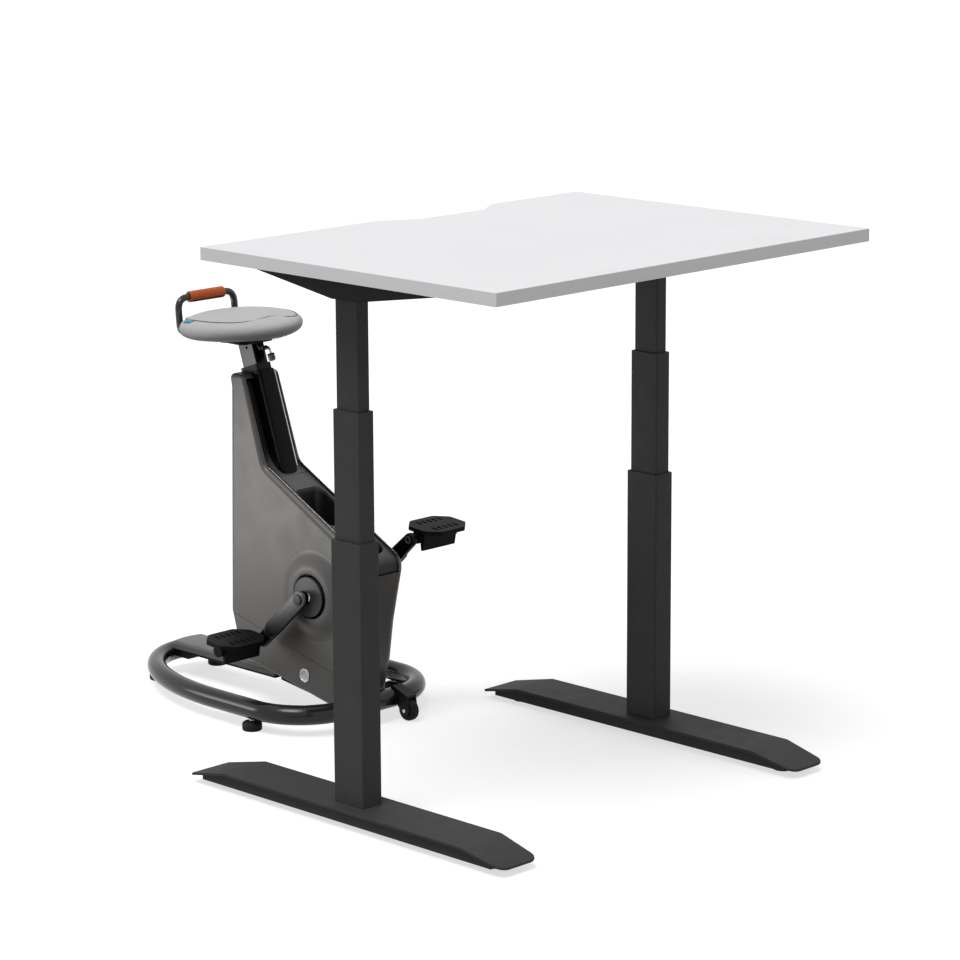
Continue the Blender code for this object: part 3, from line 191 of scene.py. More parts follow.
def soft_path(corners, count, steps=9):
    """Path through corners (x, y, z, radius): straight runs joined by quadratic curves, at even distances."""
    corners = np.asarray(corners, float)
    line = [corners[0, :3]]
    for before, here, after in zip(corners, corners[1:], corners[2:]):
        back, ahead = before[:3] - here[:3], after[:3] - here[:3]
        cut_back = here[:3] + back / np.linalg.norm(back) * min(here[3], np.linalg.norm(back) * 0.49)
        cut_ahead = here[:3] + ahead / np.linalg.norm(ahead) * min(here[3], np.linalg.norm(ahead) * 0.49)
        t = np.linspace(0, 1, steps)[:, None]
        line += list((1 - t) ** 2 * cut_back + 2 * t * (1 - t) * here[:3] + t ** 2 * cut_ahead)
    line.append(corners[-1, :3])
    return resampled(line, count)


def tube(path, radius, around=24, closed=False, up=None):
    """Circle of a radius, or of one radius per point, carried along a path in frames that don't twist."""
    path = np.asarray(path, float)
    ahead = np.roll(path, -1, axis=0) - np.roll(path, 1, axis=0)
    if not closed:
        ahead[0], ahead[-1] = path[1] - path[0], path[-1] - path[-2]
    ahead /= np.linalg.norm(ahead, axis=1, keepdims=True)
    if up is None:
        side = np.empty_like(ahead)
        start = np.cross(ahead[0], (0.31, 0.87, 0.38))
        side[0] = start / np.linalg.norm(start)
        for i in range(1, len(path)):
            leaned = side[i - 1] - ahead[i] * (side[i - 1] @ ahead[i])
            side[i] = leaned / np.linalg.norm(leaned)
    else:
        side = np.cross(ahead, np.asarray(up, float))
        side /= np.linalg.norm(side, axis=1, keepdims=True)
    over = np.cross(side, ahead)
    angle = np.linspace(0, 2 * math.pi, around, endpoint=False)
    reach = np.broadcast_to(np.asarray(radius, float), (len(path),))[:, None, None]
    ring = side[:, None] * np.cos(angle)[:, None] + over[:, None] * np.sin(angle)[:, None]
    return surface(path[:, None] + ring * reach, wrap_rows=closed)


def plate(outline, levels, place):
    """Stack of copies of a convex outline, each drawn in by an inset at a level, then placed by a function."""
    outline = np.asarray(outline, float)
    ahead = np.roll(outline, -1, axis=0) - np.roll(outline, 1, axis=0)
    ahead /= np.linalg.norm(ahead, axis=1, keepdims=True)
    area = (outline[:, 0] * np.roll(outline[:, 1], -1) - np.roll(outline[:, 0], -1) * outline[:, 1]).sum()
    inward = np.stack([-ahead[:, 1], ahead[:, 0]], axis=1) * math.copysign(1, area)
    count = len(outline)
    rows = [np.column_stack([outline + inward * inset, np.full(count, level)]) for inset, level in levels]
    return surface(place(np.array(rows)))


def rounded_levels(low, high, top=0.002, bottom=0.0, steps=5):
    """Levels of a plate whose upper and lower edges are quarter circles."""
    quarter = np.linspace(0, math.pi / 2, steps)
    under = [(0, low)]
    if bottom:
        under = [(bottom * (1 - math.sin(q)), low + bottom * (1 - math.cos(q))) for q in quarter]
    over = [(top * (1 - math.cos(q)), high - top * (1 - math.sin(q))) for q in quarter]
    return under + over


def smooth_copy(node, look, sharp=32, bevel=0.0):
    """Merged copy of a solid: curved faces shaded smooth, and its crisp edges broken by a small bevel."""
    bm = bmesh.new()
    bm.from_mesh(frame["nodes"][node].data)
    bmesh.ops.remove_doubles(bm, verts=bm.verts, dist=1e-5)
    bmesh.ops.dissolve_limit(bm, angle_limit=0.003, verts=bm.verts, edges=bm.edges)
    for edge in bm.edges:
        edge.smooth = len(edge.link_faces) == 2 and edge.calc_face_angle(0.0) < math.radians(sharp)
    mesh = bpy.data.meshes.new(node)
    bm.to_mesh(mesh)
    bm.free()
    mesh.materials.clear()
    piece = keep(node + "_finished", mesh, BODY_OF[node], look)
    if bevel:
        rounding = piece.modifiers.new("broken edges", "BEVEL")
        rounding.width = bevel
        rounding.segments = 2
        rounding.limit_method = "ANGLE"
        rounding.angle_limit = math.radians(sharp)
        rounding.harden_normals = False
    weighted = piece.modifiers.new("weighted normals", "WEIGHTED_NORMAL")
    weighted.keep_sharp = True
    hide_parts(node)
    return piece


def smoothstep(t):
    t = np.clip(t, 0, 1)
    return t * t * (3 - 2 * t)


def points_of(mesh, value="co"):
    """Places of a mesh's vertices, or another value that each of them has three of."""
    values = np.empty(len(mesh.vertices) * 3)
    mesh.vertices.foreach_get(value, values)
    return values.reshape(-1, 3)


def finished(piece):
    """New mesh of an object with its modifiers applied."""
    return bpy.data.meshes.new_from_object(piece.evaluated_get(bpy.context.evaluated_depsgraph_get()))


def on_post(rows):
    """Places points (across, backwards, up the post) that are measured from the top of the leaning post."""
    return rows @ LEAN_TURN.T + BIKE + POST_TOP


# Finishes

def linear(*levels):
    """Colour given as it appears on a screen, 0 to 255, as the light value that a shader takes."""
    level = np.array(levels, float) / 255
    low = level <= 0.04045
    value = np.where(low, level / 12.92, ((level + 0.055) / 1.055) ** 2.4)
    return (*value.tolist(), 1.0)


class Finish:
    """Principled surface with its own small network of nodes."""

    def __init__(self, name, slot, roughness, metallic=0.0, specular=0.5, sheen=0.0):
        self.material = bpy.data.materials.new(name)
        self.material.use_nodes = True
        self.nodes = self.material.node_tree.nodes
        self.links = self.material.node_tree.links
        self.shader = self.nodes["Principled BSDF"]
        self.shader.inputs["Metallic"].default_value = metallic
        self.shader.inputs["Specular IOR Level"].default_value = specular
        self.shader.inputs["Sheen Weight"].default_value = sheen
        self.shader.inputs["Roughness"].default_value = roughness
        self.place = self.nodes.new("ShaderNodeTexCoord").outputs["Object"]

    def noise(self, size, detail=3.0, stretch=(1, 1, 1)):
        """Cloudy pattern whose spots are about this size in metres."""
        mapping = self.nodes.new("ShaderNodeMapping")
        mapping.inputs["Scale"].default_value = stretch
        texture = self.nodes.new("ShaderNodeTexNoise")
        texture.inputs["Scale"].default_value = 1 / size
        texture.inputs["Detail"].default_value = detail
        self.links.new(self.place, mapping.inputs["Vector"])
        self.links.new(mapping.outputs["Vector"], texture.inputs["Vector"])
        return texture.outputs["Fac"]

    def spread(self, value, low, high, start=0.3, end=0.7):
        """Value mapped from start..end to low..high."""
        ranged = self.nodes.new("ShaderNodeMapRange")
        ranged.inputs["From Min"].default_value = start
        ranged.inputs["From Max"].default_value = end
        ranged.inputs["To Min"].default_value = low
        ranged.inputs["To Max"].default_value = high
        self.links.new(value, ranged.inputs["Value"])
        return ranged.outputs["Result"]

    def mix(self, factor, first, second):
        """Blend of two colours, each a colour or a socket."""
        blend = self.nodes.new("ShaderNodeMix")
        blend.data_type = "RGBA"
        self.links.new(factor, blend.inputs["Factor"])
        for socket, colour in ((blend.inputs["A"], first), (blend.inputs["B"], second)):
            if isinstance(colour, tuple):
                socket.default_value = colour
            else:
                self.links.new(colour, socket)
        return blend.outputs["Result"]

    def maths(self, operation, first, second=0.0):
        node = self.nodes.new("ShaderNodeMath")
        node.operation = operation
        for socket, value in zip(node.inputs, (first, second)):
            if isinstance(value, (int, float)):
                socket.default_value = value
            else:
                self.links.new(value, socket)
        return node.outputs["Value"]

    def coordinates(self):
        """Sockets X, Y and Z of the surface point, in metres."""
        split = self.nodes.new("ShaderNodeSeparateXYZ")
        self.links.new(self.place, split.inputs["Vector"])
        return split.outputs

    def away(self, axis_point):
        """Distance in metres of a surface point from a line along x through (y, z)."""
        here = self.coordinates()
        squares = []
        for name, value in zip(("Y", "Z"), axis_point):
            step = self.maths("SUBTRACT", here[name], float(value))
            squares.append(self.maths("MULTIPLY", step, step))
        return self.maths("SQRT", self.maths("ADD", squares[0], squares[1]))

    def height(self):
        return self.coordinates()["Z"]

    def creases(self, pebble):
        """0 along the fine creases between the cells of a leather's grain, 1 on the cells."""
        cells = self.nodes.new("ShaderNodeTexVoronoi")
        cells.feature = "DISTANCE_TO_EDGE"
        cells.inputs["Scale"].default_value = 1 / pebble
        self.links.new(self.place, cells.inputs["Vector"])
        return self.spread(cells.outputs["Distance"], 0, 1, 0.0, 0.16)

    def drive(self, socket, value):
        self.links.new(value, self.shader.inputs[socket])

    def colour(self, value):
        if isinstance(value, tuple):
            self.shader.inputs["Base Color"].default_value = value
        else:
            self.links.new(value, self.shader.inputs["Base Color"])

    def mottled(self, colour, amount=0.06, size=0.05):
        """Colour that drifts a little lighter and darker over the surface."""
        dark = tuple(c * (1 - amount) for c in colour[:3]) + (1.0,)
        light = tuple(min(c * (1 + amount), 1.0) for c in colour[:3]) + (1.0,)
        return self.mix(self.spread(self.noise(size), 0, 1), dark, light)

    def rough(self, low, high, size=0.03):
        self.drive("Roughness", self.spread(self.noise(size, 4), low, high))

    def relief(self, heights):
        """Bumps from a list of (height value 0..1, depth in metres)."""
        normal = None
        for value, depth in heights:
            bump = self.nodes.new("ShaderNodeBump")
            bump.inputs["Strength"].default_value = 1.0
            bump.inputs["Distance"].default_value = depth
            self.links.new(value, bump.inputs["Height"])
            if normal is not None:
                self.links.new(normal, bump.inputs["Normal"])
            normal = bump.outputs["Normal"]
        self.drive("Normal", normal)


def moulded(name, slot, level, roughness, grain, depth, metallic=0.0, specular=0.4, uneven=0.06):
    """Moulded or painted surface of a screen colour: fine grain, slow drift of colour and of gloss."""
    finish = Finish(name, slot, roughness, metallic, specular)
    finish.colour(finish.mottled(linear(*level), 0.05))
    finish.rough(roughness - uneven / 2, roughness + uneven / 2)
    finish.relief([(finish.noise(grain, 2), depth)])
    return finish.material


def board_finish():
    """White melamine top: very fine pores and a slow drift of gloss."""
    finish = Finish("white board", "white_board", 0.5, specular=0.2)
    finish.colour(finish.mottled(linear(233, 233, 235), 0.012, 0.20))
    finish.rough(0.38, 0.48, 0.08)
    finish.relief([(finish.noise(0.0016, 2), 0.00002)])
    return finish.material


def shell_finish():
    """Satin metallic grey with fine flakes."""
    finish = Finish("metallic grey", "grey_shell", 0.45, metallic=0.30, specular=0.15)
    flakes = finish.spread(finish.noise(0.0009, 1), 0, 1, 0.35, 0.65)
    base = finish.mix(flakes, linear(82, 80, 78), linear(91, 89, 87))
    drift = finish.spread(finish.noise(0.30, 2), 0, 0.25)
    finish.colour(finish.mix(drift, base, linear(75, 73, 71)))
    finish.rough(0.38, 0.46, 0.05)
    finish.relief([(finish.noise(0.0008, 1), 0.000012)])
    return finish.material


def deck_finish():
    """Dark satin deck that turns deep black below its surface, in the wells, as painted shade that deepens with
    depth.
    """
    finish = Finish("deck grey", "dark_plastic", 0.45, specular=0.35)
    here = finish.coordinates()
    level = DECK_Z + DECK_SLOPE * (-BIKE[1] - DECK_Y) - DECK_DROP
    slope = finish.maths("MULTIPLY", here["Y"], DECK_SLOPE)
    under = finish.maths("SUBTRACT", finish.maths("ADD", slope, level), here["Z"])
    # Painted shade: the wells darken to near black from 2 to 12 mm below the deck surface
    depth = finish.spread(under, 0, 1, 0.002, 0.012)
    finish.colour(finish.mix(depth, finish.mottled(linear(70, 71, 72), 0.06), linear(14, 14, 15)))
    finish.rough(0.40, 0.50)
    finish.relief([(finish.noise(0.0012, 2), 0.00004)])
    return finish.material


def trough_finish():
    """Deck grey at its foot, turning to satin black up the trough: painted shade of the channel between the side
    shells.
    """
    finish = Finish("trough grey", "dark_plastic", 0.38, specular=0.30)
    # Painted shade: the colour darkens with height, from 0.516 to 0.560 m, up into the channel
    rise = finish.spread(finish.height(), 0, 1, 0.516, 0.560)
    finish.colour(finish.mix(rise, finish.mottled(linear(66, 67, 68), 0.06), linear(38, 38, 39)))
    finish.rough(0.32, 0.42)
    finish.relief([(finish.noise(0.0012, 2), 0.00003)])
    return finish.material


def brushed(name, slot, level, roughness, stretch):
    """Bare metal of a screen colour, with fine lines along one direction."""
    finish = Finish(name, slot, roughness, metallic=1.0)
    colour = linear(*level)
    lines = finish.noise(0.0012, 3, stretch)
    finish.colour(finish.mix(lines, tuple(c * 0.86 for c in colour[:3]) + (1.0,), colour))
    finish.drive("Roughness", finish.spread(lines, roughness - 0.06, roughness + 0.08))
    finish.relief([(lines, 0.000015)])
    return finish.material


def grip_leather():
    """Tan leather: cells of grain with fine dark creases between them, soft clouds of colour."""
    finish = Finish("tan leather", "tan_leather", 0.42, specular=0.25, sheen=0.05)
    crease = finish.creases(0.0018)
    clouds = finish.mottled(linear(190, 84, 24), 0.05, 0.04)
    finish.colour(finish.mix(crease, finish.mix(finish.noise(0.01), linear(120, 46, 12), clouds), clouds))
    finish.rough(0.37, 0.49, 0.02)
    finish.relief([(crease, 0.00008), (finish.noise(0.0006, 2), 0.000024)])
    return finish.material


def arm_finish():
    """Satin grey arm cover that darkens away from the crank axis, as painted shade towards the pedal."""
    finish = Finish("grey arm cover", "grey_tube", 0.38, specular=0.35)
    # Painted shade: colour and specular level fall away from the crank axis towards the pedal
    reach = finish.spread(finish.away((BIKE[1], CRANK_HEIGHT)), 0, 1, 0.010, 0.125)
    finish.colour(finish.mix(reach, linear(88, 89, 88), linear(14, 15, 15)))
    finish.drive("Specular IOR Level", finish.spread(reach, 0.35, 0.06, 0, 1))
    finish.rough(0.34, 0.42)
    finish.relief([(finish.noise(0.0010, 2), 0.00002)])
    return finish.material


def cover_leather():
    """Pale grey leather of the saddle; below the seam it darkens towards its lower edge, which is painted shade.
    """
    finish = Finish("pale grey leather", "saddle_cover", 0.55, specular=0.12, sheen=0.03)
    crease = finish.creases(0.0016)
    # Painted shade: the leather is coloured darker from below the seam down towards the base
    low = finish.spread(finish.height(), 0, 1, SADDLE_BASE + 0.048, SADDLE_BASE + 0.010)
    upper = finish.mottled(linear(190, 190, 189), 0.03, 0.04)
    lower = finish.mottled(linear(112, 114, 115), 0.03, 0.04)
    panel = finish.mix(low, upper, lower)
    finish.colour(finish.mix(finish.spread(crease, 0.06, 0.0, 0, 1), panel, linear(120, 120, 120)))
    finish.rough(0.50, 0.62, 0.02)
    finish.relief([(crease, 0.00004), (finish.noise(0.0006, 2), 0.00001)])
    return finish.material


def post_finish():
    """Satin grey of the post; the seat plate on top of it is matt black."""
    finish = Finish("post grey", "black_paint", 0.34, specular=0.35)
    plate_share = finish.spread(finish.height(), 0, 1, SADDLE_BASE - 0.0045, SADDLE_BASE - 0.0040)
    finish.colour(finish.mix(plate_share, finish.mottled(linear(74, 75, 76), 0.05), linear(12, 12, 13)))
    finish.drive("Roughness", finish.spread(plate_share, 0.34, 0.80, 0, 1))
    finish.relief([(finish.noise(0.0012, 2), 0.00002)])
    return finish.material


def handle_finish():
    """Gloss black of the handle, matt on its lower run under the saddle, where its darker colour is painted
    shade.
    """
    finish = Finish("gloss black paint", "black_paint", 0.14, specular=0.5)
    upper = finish.spread(finish.height(), 0, 1, SADDLE_BASE + 0.008, SADDLE_BASE + 0.018)
    # Painted shade: the lower run under the saddle is coloured darker than the rest of the handle
    finish.colour(finish.mix(upper, linear(6, 6, 7), finish.mottled(linear(16, 16, 17), 0.05)))
    finish.drive("Roughness", finish.spread(upper, 0.85, 0.14, 0, 1))
    finish.drive("Specular IOR Level", finish.spread(upper, 0.05, 0.5, 0, 1))
    return finish.material


def rubber_finish():
    finish = Finish("matt rubber", "black_rubber", 0.75, specular=0.2)
    finish.colour(finish.mottled(linear(26, 26, 26), 0.15, 0.02))
    finish.rough(0.68, 0.82, 0.01)
    finish.relief([(finish.noise(0.0008, 3), 0.00006)])
    return finish.material


def under_cloth():
    """Black woven dust cloth: two crossing sets of threads."""
    finish = Finish("black dust cloth", "black_plastic", 0.85, specular=0.15)
    waves = []
    for direction in ("X", "Y"):
        wave = finish.nodes.new("ShaderNodeTexWave")
        wave.bands_direction = direction
        wave.inputs["Scale"].default_value = 220
        finish.links.new(finish.place, wave.inputs["Vector"])
        waves.append(wave.outputs["Fac"])
    weave = finish.maths("MULTIPLY", waves[0], waves[1])
    finish.colour(finish.mix(weave, linear(16, 16, 17), linear(34, 34, 35)))
    finish.relief([(weave, 0.0002)])
    return finish.material


BOARD = board_finish()
SHELL = shell_finish()
DECK = deck_finish()
TROUGH = trough_finish()
COVER = cover_leather()
RUBBER = rubber_finish()
DUST_CLOTH = under_cloth()
GREY_ARM = arm_finish()
POST_PAINT = post_finish()
HANDLE_BLACK = handle_finish()
TAN = grip_leather()
DARK_PAINT = moulded("dark grey powder coat", "dark_paint", (62, 62, 63), 0.60, 0.0009, 0.00006, specular=0.15)
FOOT_PAINT = moulded("foot powder coat", "dark_paint", (55, 55, 56), 0.60, 0.0009, 0.00006, specular=0.15)
BLACK_PAINT = moulded("black powder coat", "black_paint", (30, 30, 31), 0.55, 0.0009, 0.00005, specular=0.12)
BLACK_PLASTIC = moulded("black plastic", "black_plastic", (22, 22, 23), 0.48, 0.0010, 0.00005, specular=0.16)
PEDAL_BLACK = moulded("pedal black", "black_plastic", (9, 9, 10), 0.50, 0.0010, 0.00005, specular=0.06)
GLOSS_BLACK = moulded("gloss black", "gloss_black", (8, 8, 9), 0.20, 0.01, 0.00001, specular=0.08, uneven=0.03)
LIGHT_PLASTIC = moulded("light grey satin", "light_plastic", (82, 83, 81), 0.36, 0.0012, 0.00002, specular=0.2)
KNOB_GREY = moulded("knob grey", "black_plastic", (92, 93, 94), 0.36, 0.0010, 0.00002, specular=0.35)
HUB_GREY = moulded("grey hub disc", "grey_tube", (56, 56, 55), 0.42, 0.0010, 0.00002, specular=0.25)
TUBE_PAINT = moulded("satin dark tube", "grey_tube", (25, 26, 27), 0.19, 0.0012, 0.000006,
                     specular=0.33, uneven=0.03)
MOTOR = moulded("die casting", "motor_housing", (66, 66, 68), 0.50, 0.0018, 0.00010, metallic=0.3)
BLUE_TAB = moulded("blue woven tab", "saddle_cover", (84, 156, 188), 0.7, 0.0006, 0.00010, specular=0.2)
THREAD = moulded("dark thread", "saddle_cover", (92, 94, 94), 0.7, 0.0005, 0.00008, specular=0.2)
STEEL = brushed("machined steel", "bare_steel", (200, 201, 203), 0.25, (1, 0.15, 1))
IRON = brushed("turned iron", "flywheel_iron", (120, 120, 122), 0.35, (0.1, 1, 1))
SILVER = brushed("satin silver", "bare_steel", (196, 197, 199), 0.28, (0.2, 1, 1))
# Painted highlight: pale metal for the thin bead along each side's rim
RIM_HIGHLIGHT_BEAD = brushed("painted rim highlight", "bare_steel", (156, 157, 158), 0.40, (1, 0.2, 0.2))
# Painted highlight: near-white metal for thin lines that stand in for the shine of edges
PAINTED_HIGHLIGHT_LINE = brushed("bright line", "bare_steel", (240, 240, 241), 0.35, (1, 0.2, 0.2))
LOOK_OF_SLOT = {
    "white_board": BOARD, "dark_paint": DARK_PAINT, "black_paint": BLACK_PAINT, "black_plastic": BLACK_PLASTIC,
    "gloss_black": GLOSS_BLACK, "grey_shell": SHELL, "dark_plastic": DECK, "light_plastic": LIGHT_PLASTIC,
    "bare_steel": STEEL, "flywheel_iron": IRON, "grey_tube": TUBE_PAINT, "motor_housing": MOTOR,
    "tan_leather": TAN, "saddle_cover": COVER, "black_rubber": RUBBER,
}


# Base of the bike

def loop_line(count=260):
    """Middle line of the base loop: straight front and sides, round front corners, half an ellipse behind."""
    half, corner = LOOP_HALF, LOOP_CORNER
    quarter = np.linspace(0, math.pi / 2, 24)
    x = half - corner + corner * np.sin(quarter)
    y = LOOP_FRONT + corner - corner * np.cos(quarter)
    swing = np.linspace(0, math.pi / 2, 50)
    rear_x, rear_y = half * np.cos(swing), LOOP_SIDE_END + (LOOP_REAR - LOOP_SIDE_END) * np.sin(swing)
    side = np.vstack([np.column_stack([x, y]), np.column_stack([rear_x, rear_y])])
    line = np.vstack([side, (side * (-1, 1))[::-1]])
    flat = resampled(line, count, closed=True)
    return np.column_stack([flat, np.full(count, LOOP_HEIGHT)]) + BIKE


def rear_reach(x):
    """Where the loop's middle line lies behind, at a distance from the middle."""
    return LOOP_SIDE_END + (LOOP_REAR - LOOP_SIDE_END) * np.sqrt(1 - (x / LOOP_HALF) ** 2)


def loop_inside(x):
    """Where the loop's tube begins behind, less a gap of 1.2 mm, at a distance from the middle."""
    return rear_reach(x) - (LOOP_TUBE / 2 + 0.0012) * np.sqrt(1 + (x / LOOP_HALF) ** 2)


def bridge_plan(half, front, count):
    """Outline of the rear bridge: straight sides and front, and behind a curve that follows the loop's tube."""
    x = np.linspace(half, -half, 17)
    plan = np.vstack([[(-half, front), (half, front)], np.column_stack([x, loop_inside(x)])])
    return resampled(plan, count, closed=True)


def base():
    loop = keep("base_loop_tube", tube(loop_line(), LOOP_TUBE / 2, 40, closed=True, up=(0, 0, 1)),
                "bike_body", TUBE_PAINT)
    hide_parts("base_loop")

    # Rear bridge: a grey lid on a black cover, and a narrower block that carries them near the loop
    low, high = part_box("rear_bridge")
    half = (high[0] - low[0]) / 2
    sides = bridge_plan(half, low[1] - BIKE[1], 150)
    block = bridge_plan(half - 0.006, loop_inside(half - 0.006) - 0.046, 120)
    split = high[2] - 0.0215
    for name, outline, levels, look in (
            ("bridge_cover", sides, rounded_levels(split, high[2] - 0.0172, 0.0008, 0.001, 4), GLOSS_BLACK),
            ("bridge_lid", sides, rounded_levels(high[2] - 0.0170, high[2], 0.0050, 0.0004, 7), LIGHT_PLASTIC),
            ("bridge_block", block, rounded_levels(low[2], split + 0.001, 0.0008, 0.0015), BLACK_PLASTIC)):
        piece = keep(name, plate(outline, levels, lambda rows: rows + BIKE), "bike_body", look)
        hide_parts("rear_bridge")

    # Levelling feet: rubber disc with a rounded rim and a steel stem
    for side, _ in SIDES:
        for end_word in ("front", "rear"):
            node = "%s_%s_levelling_foot" % (side, end_word)
            low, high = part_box(node)
            centre = middle(node) * (1, 1, 0)
            radius = (high[0] - low[0]) / 2
            disc = [(0, 0.0), (0, radius - 0.002), (0.002, radius), (0.0135, radius), (0.0165, radius - 0.0015),
                    (0.0190, radius - 0.006), (0.0200, 0.008), (0.0200, 0.0)]
            foot = keep(node + "_pad", turned(disc, centre, "z", 64), "bike_body", RUBBER)
            stem = [(0.0200, 0.0), (0.0200, 0.0062), (0.0235, 0.0062), (0.0235, 0.0)]
            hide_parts(node)
            keep(node + "_stem", turned(stem, centre, "z", 32), "bike_body", STEEL)


def casters():
    """Turned wheels with a crowned tyre, a hub face and a small axle head."""
    for side, sign in SIDES:
        smooth_copy(side + "_caster_fork", BLACK_PLASTIC, 32, 0.0005)
        low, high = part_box(side + "_caster_wheel")
        centre = middle(side + "_caster_wheel")
        half, radius = (high[0] - low[0]) / 2, (high[2] - low[2]) / 2
        face = [(half - 0.004, radius), (half - 0.0012, radius - 0.0012), (half, radius - 0.0035), (half, 0.0150),
                (half - 0.001, 0.0135), (half, 0.0038)]
        tyre = [(-x, r) for x, r in face[::-1]] + face
        wheel = keep(side + "_caster_tyre", turned(tyre, centre, "x", 72), side + "_wheel", RUBBER)
        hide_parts(side + "_caster_wheel")
        fork_low, fork_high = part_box(side + "_caster_fork")
        reach = (fork_high[0] - fork_low[0]) / 2 + 0.0012
        for turn in (-1, 1):
            head = rounded_profile([(turn * (reach - 0.003), 0.0, 0), (turn * (reach - 0.003), 0.0042, 0),
                                    (turn * reach, 0.0042, 0.001), (turn * reach, 0.0, 0)], 4)
            keep("%s_axle_head_%s" % (side, "inner" if turn == -sign else "outer"),
                 turned(head, centre, "x", 32), "bike_body", SILVER)


# Body of the bike

def shell_plane(z):
    return 0.052 + (0.700 - z) * SIDE_SLOPE


def bosses():
    """Round swelling of each side about the crank.

    Its distance from the middle is the side's own plane, plus the rise times one minus a smooth step of the
    radius.
    """
    low, rise_start, rise_end = 0.0480, 0.0555, 0.097
    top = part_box("left_side_shell")[1][0] - BIKE[0] + 0.0004
    angle = np.linspace(0, 2 * math.pi, 128, endpoint=False)
    radius = np.concatenate([[low, low, low + 0.0004, low + 0.0014], np.linspace(low + 0.003, rise_end, 30),
                             [rise_end + 0.0015]])
    for side, sign in SIDES:
        z = CRANK_HEIGHT + radius[:, None] * np.sin(angle)
        y = radius[:, None] * np.cos(angle)
        plane = shell_plane(z)
        share = 1 - smoothstep((radius[:, None] - rise_start) / (rise_end - rise_start))
        x = plane + (top - plane) * share + 0.00025
        x[0] = plane[0] - 0.001
        x[1] = top - 0.0016
        x[2] = top - 0.0005
        x[-1] = plane[-1] - 0.0010
        grid = np.stack([sign * x, y, z], axis=-1) + BIKE
        piece = keep(side + "_crank_boss", surface(grid, wrap_rows=True), "bike_body", SHELL)
        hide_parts(side + "_side_shell")


def trim_lines():
    """Thin pale bead, a painted highlight of the rounded rim, and a black gap along the rim of each side, where
    it meets the deck.
    """
    start, end = np.array([0.158, 0.5195]), np.array([-0.138, 0.3633])
    for side, sign in SIDES:
        t = np.linspace(0, 1, 60)[:, None]
        line = start + (end - start) * t
        # The bead is a painted highlight: a thin pale tube standing in for the shine of the rounded rim
        for word, x, thick, look in (("rim_painted_highlight", 0.0452, 0.0006, RIM_HIGHLIGHT_BEAD),
                                     ("rim_gap", 0.0430, 0.0015, GLOSS_BLACK)):
            path = np.column_stack([np.full(60, sign * x), line[:, 0], line[:, 1] + 0.0006]) + BIKE
            keep("%s_%s" % (side, word), tube(path, thick, 12, up=(1, 0, 0)), "bike_body", look)


def badge():
    """Plain round badge: a raised rim round a flat face, on the side's plane."""
    height = 0.092
    x = shell_plane(height)
    profile = rounded_profile([(0.0, 0.0, 0), (0.0, 0.0146, 0), (0.0022, 0.0146, 0.0006),
                               (0.0022, 0.0128, 0.0005), (0.0014, 0.0124, 0.0003), (0.0014, 0.0, 0)], 4)
    profile[:, 0] *= -1
    mesh = turned(profile, (0, 0, 0), "x", 72)
    mesh.transform(Matrix.Translation((BIKE[0] - x + 0.0002, BIKE[1] + 0.029, height))
                   @ Matrix.Rotation(math.atan(SIDE_SLOPE), 4, "Y"))
    keep("plain_badge", mesh, "bike_body", SILVER)


def hubs():
    """Dished disc in each boss with a black ring round it."""
    for side, sign in SIDES:
        low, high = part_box(side + "_hub_disc")
        outer = (low if sign < 0 else high)[0] - BIKE[0]
        inner = (high if sign < 0 else low)[0] - BIKE[0]
        face = outer + sign * 0.0052
        steps = [(-0.0024, 0.0420), (-0.0016, 0.0426), (-0.0008, 0.0422), (-0.0006, 0.0410), (0.0, 0.0360),
                 (0.0012, 0.0270), (0.0020, 0.0200), (0.0024, 0.0165), (0.0024, 0.0125), (0.0018, 0.0105)]
        profile = [(inner, 0.0105), (inner, 0.0415)]
        profile += [(face + sign * depth, radius) for depth, radius in steps]
        disc = keep(side + "_hub_face", turned(profile, CRANK_AXIS, "x", 96),
                    BODY_OF[side + "_hub_disc"], HUB_GREY)
        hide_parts(side + "_hub_disc")
        # Black liner that closes the gap round the disc, deep behind it
        ring = rounded_profile([(inner, 0.0425, 0), (inner, 0.0500, 0), (inner + sign * 0.0040, 0.0500, 0.0008),
                                (inner + sign * 0.0040, 0.0425, 0.0008)], 3)
        keep(side + "_hub_liner", turned(ring, CRANK_AXIS, "x", 72), "bike_body", GLOSS_BLACK)


def slide_cover():
    """Glossy cover that leans with the post: rounded front edges and a rounded lower end, and a thin bright line
    down its far front edge that is a painted highlight.
    """
    half, reach, back = 0.0225, 0.0325, 0.004
    top, bottom, end = -0.0085, -0.2415, 0.019
    s = np.concatenate([[top], np.linspace(top - 0.002, bottom + end, 12),
                        bottom + end - end * np.sin(np.linspace(0, math.pi / 2, 12)[1:])])
    into = np.clip((bottom + end - s) / end, 0, 1)
    arc = np.sqrt(np.maximum(1 - into ** 2, 0))
    width = (half - 0.0055) + 0.0055 * arc - (half - 0.0070) * (1 - arc)
    width[0] -= 0.001
    rows = []
    for height, w in zip(s, width):
        w = max(w, 0.002)
        r = min(0.006, w * 0.8)
        outline = rounded_profile([(-w, back, 0), (-w, -reach, r), (w, -reach, r), (w, back, 0)], 8)
        rows.append(np.column_stack([outline, np.full(len(outline), height)]))
    cover = keep("slide_cover_face", surface(on_post(np.array(rows))), "bike_body", GLOSS_BLACK)
    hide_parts("slide_cover")
    # Painted highlight: a thin near-white tube down the cover's far front edge stands in for its shine
    t = np.linspace(-0.012, -0.224, 60)
    path = on_post(np.column_stack([np.full(60, 0.0212), np.full(60, -0.0320), t]))
    keep("slide_cover_painted_highlight", tube(path, 0.0008, 12), "bike_body", PAINTED_HIGHLIGHT_LINE)


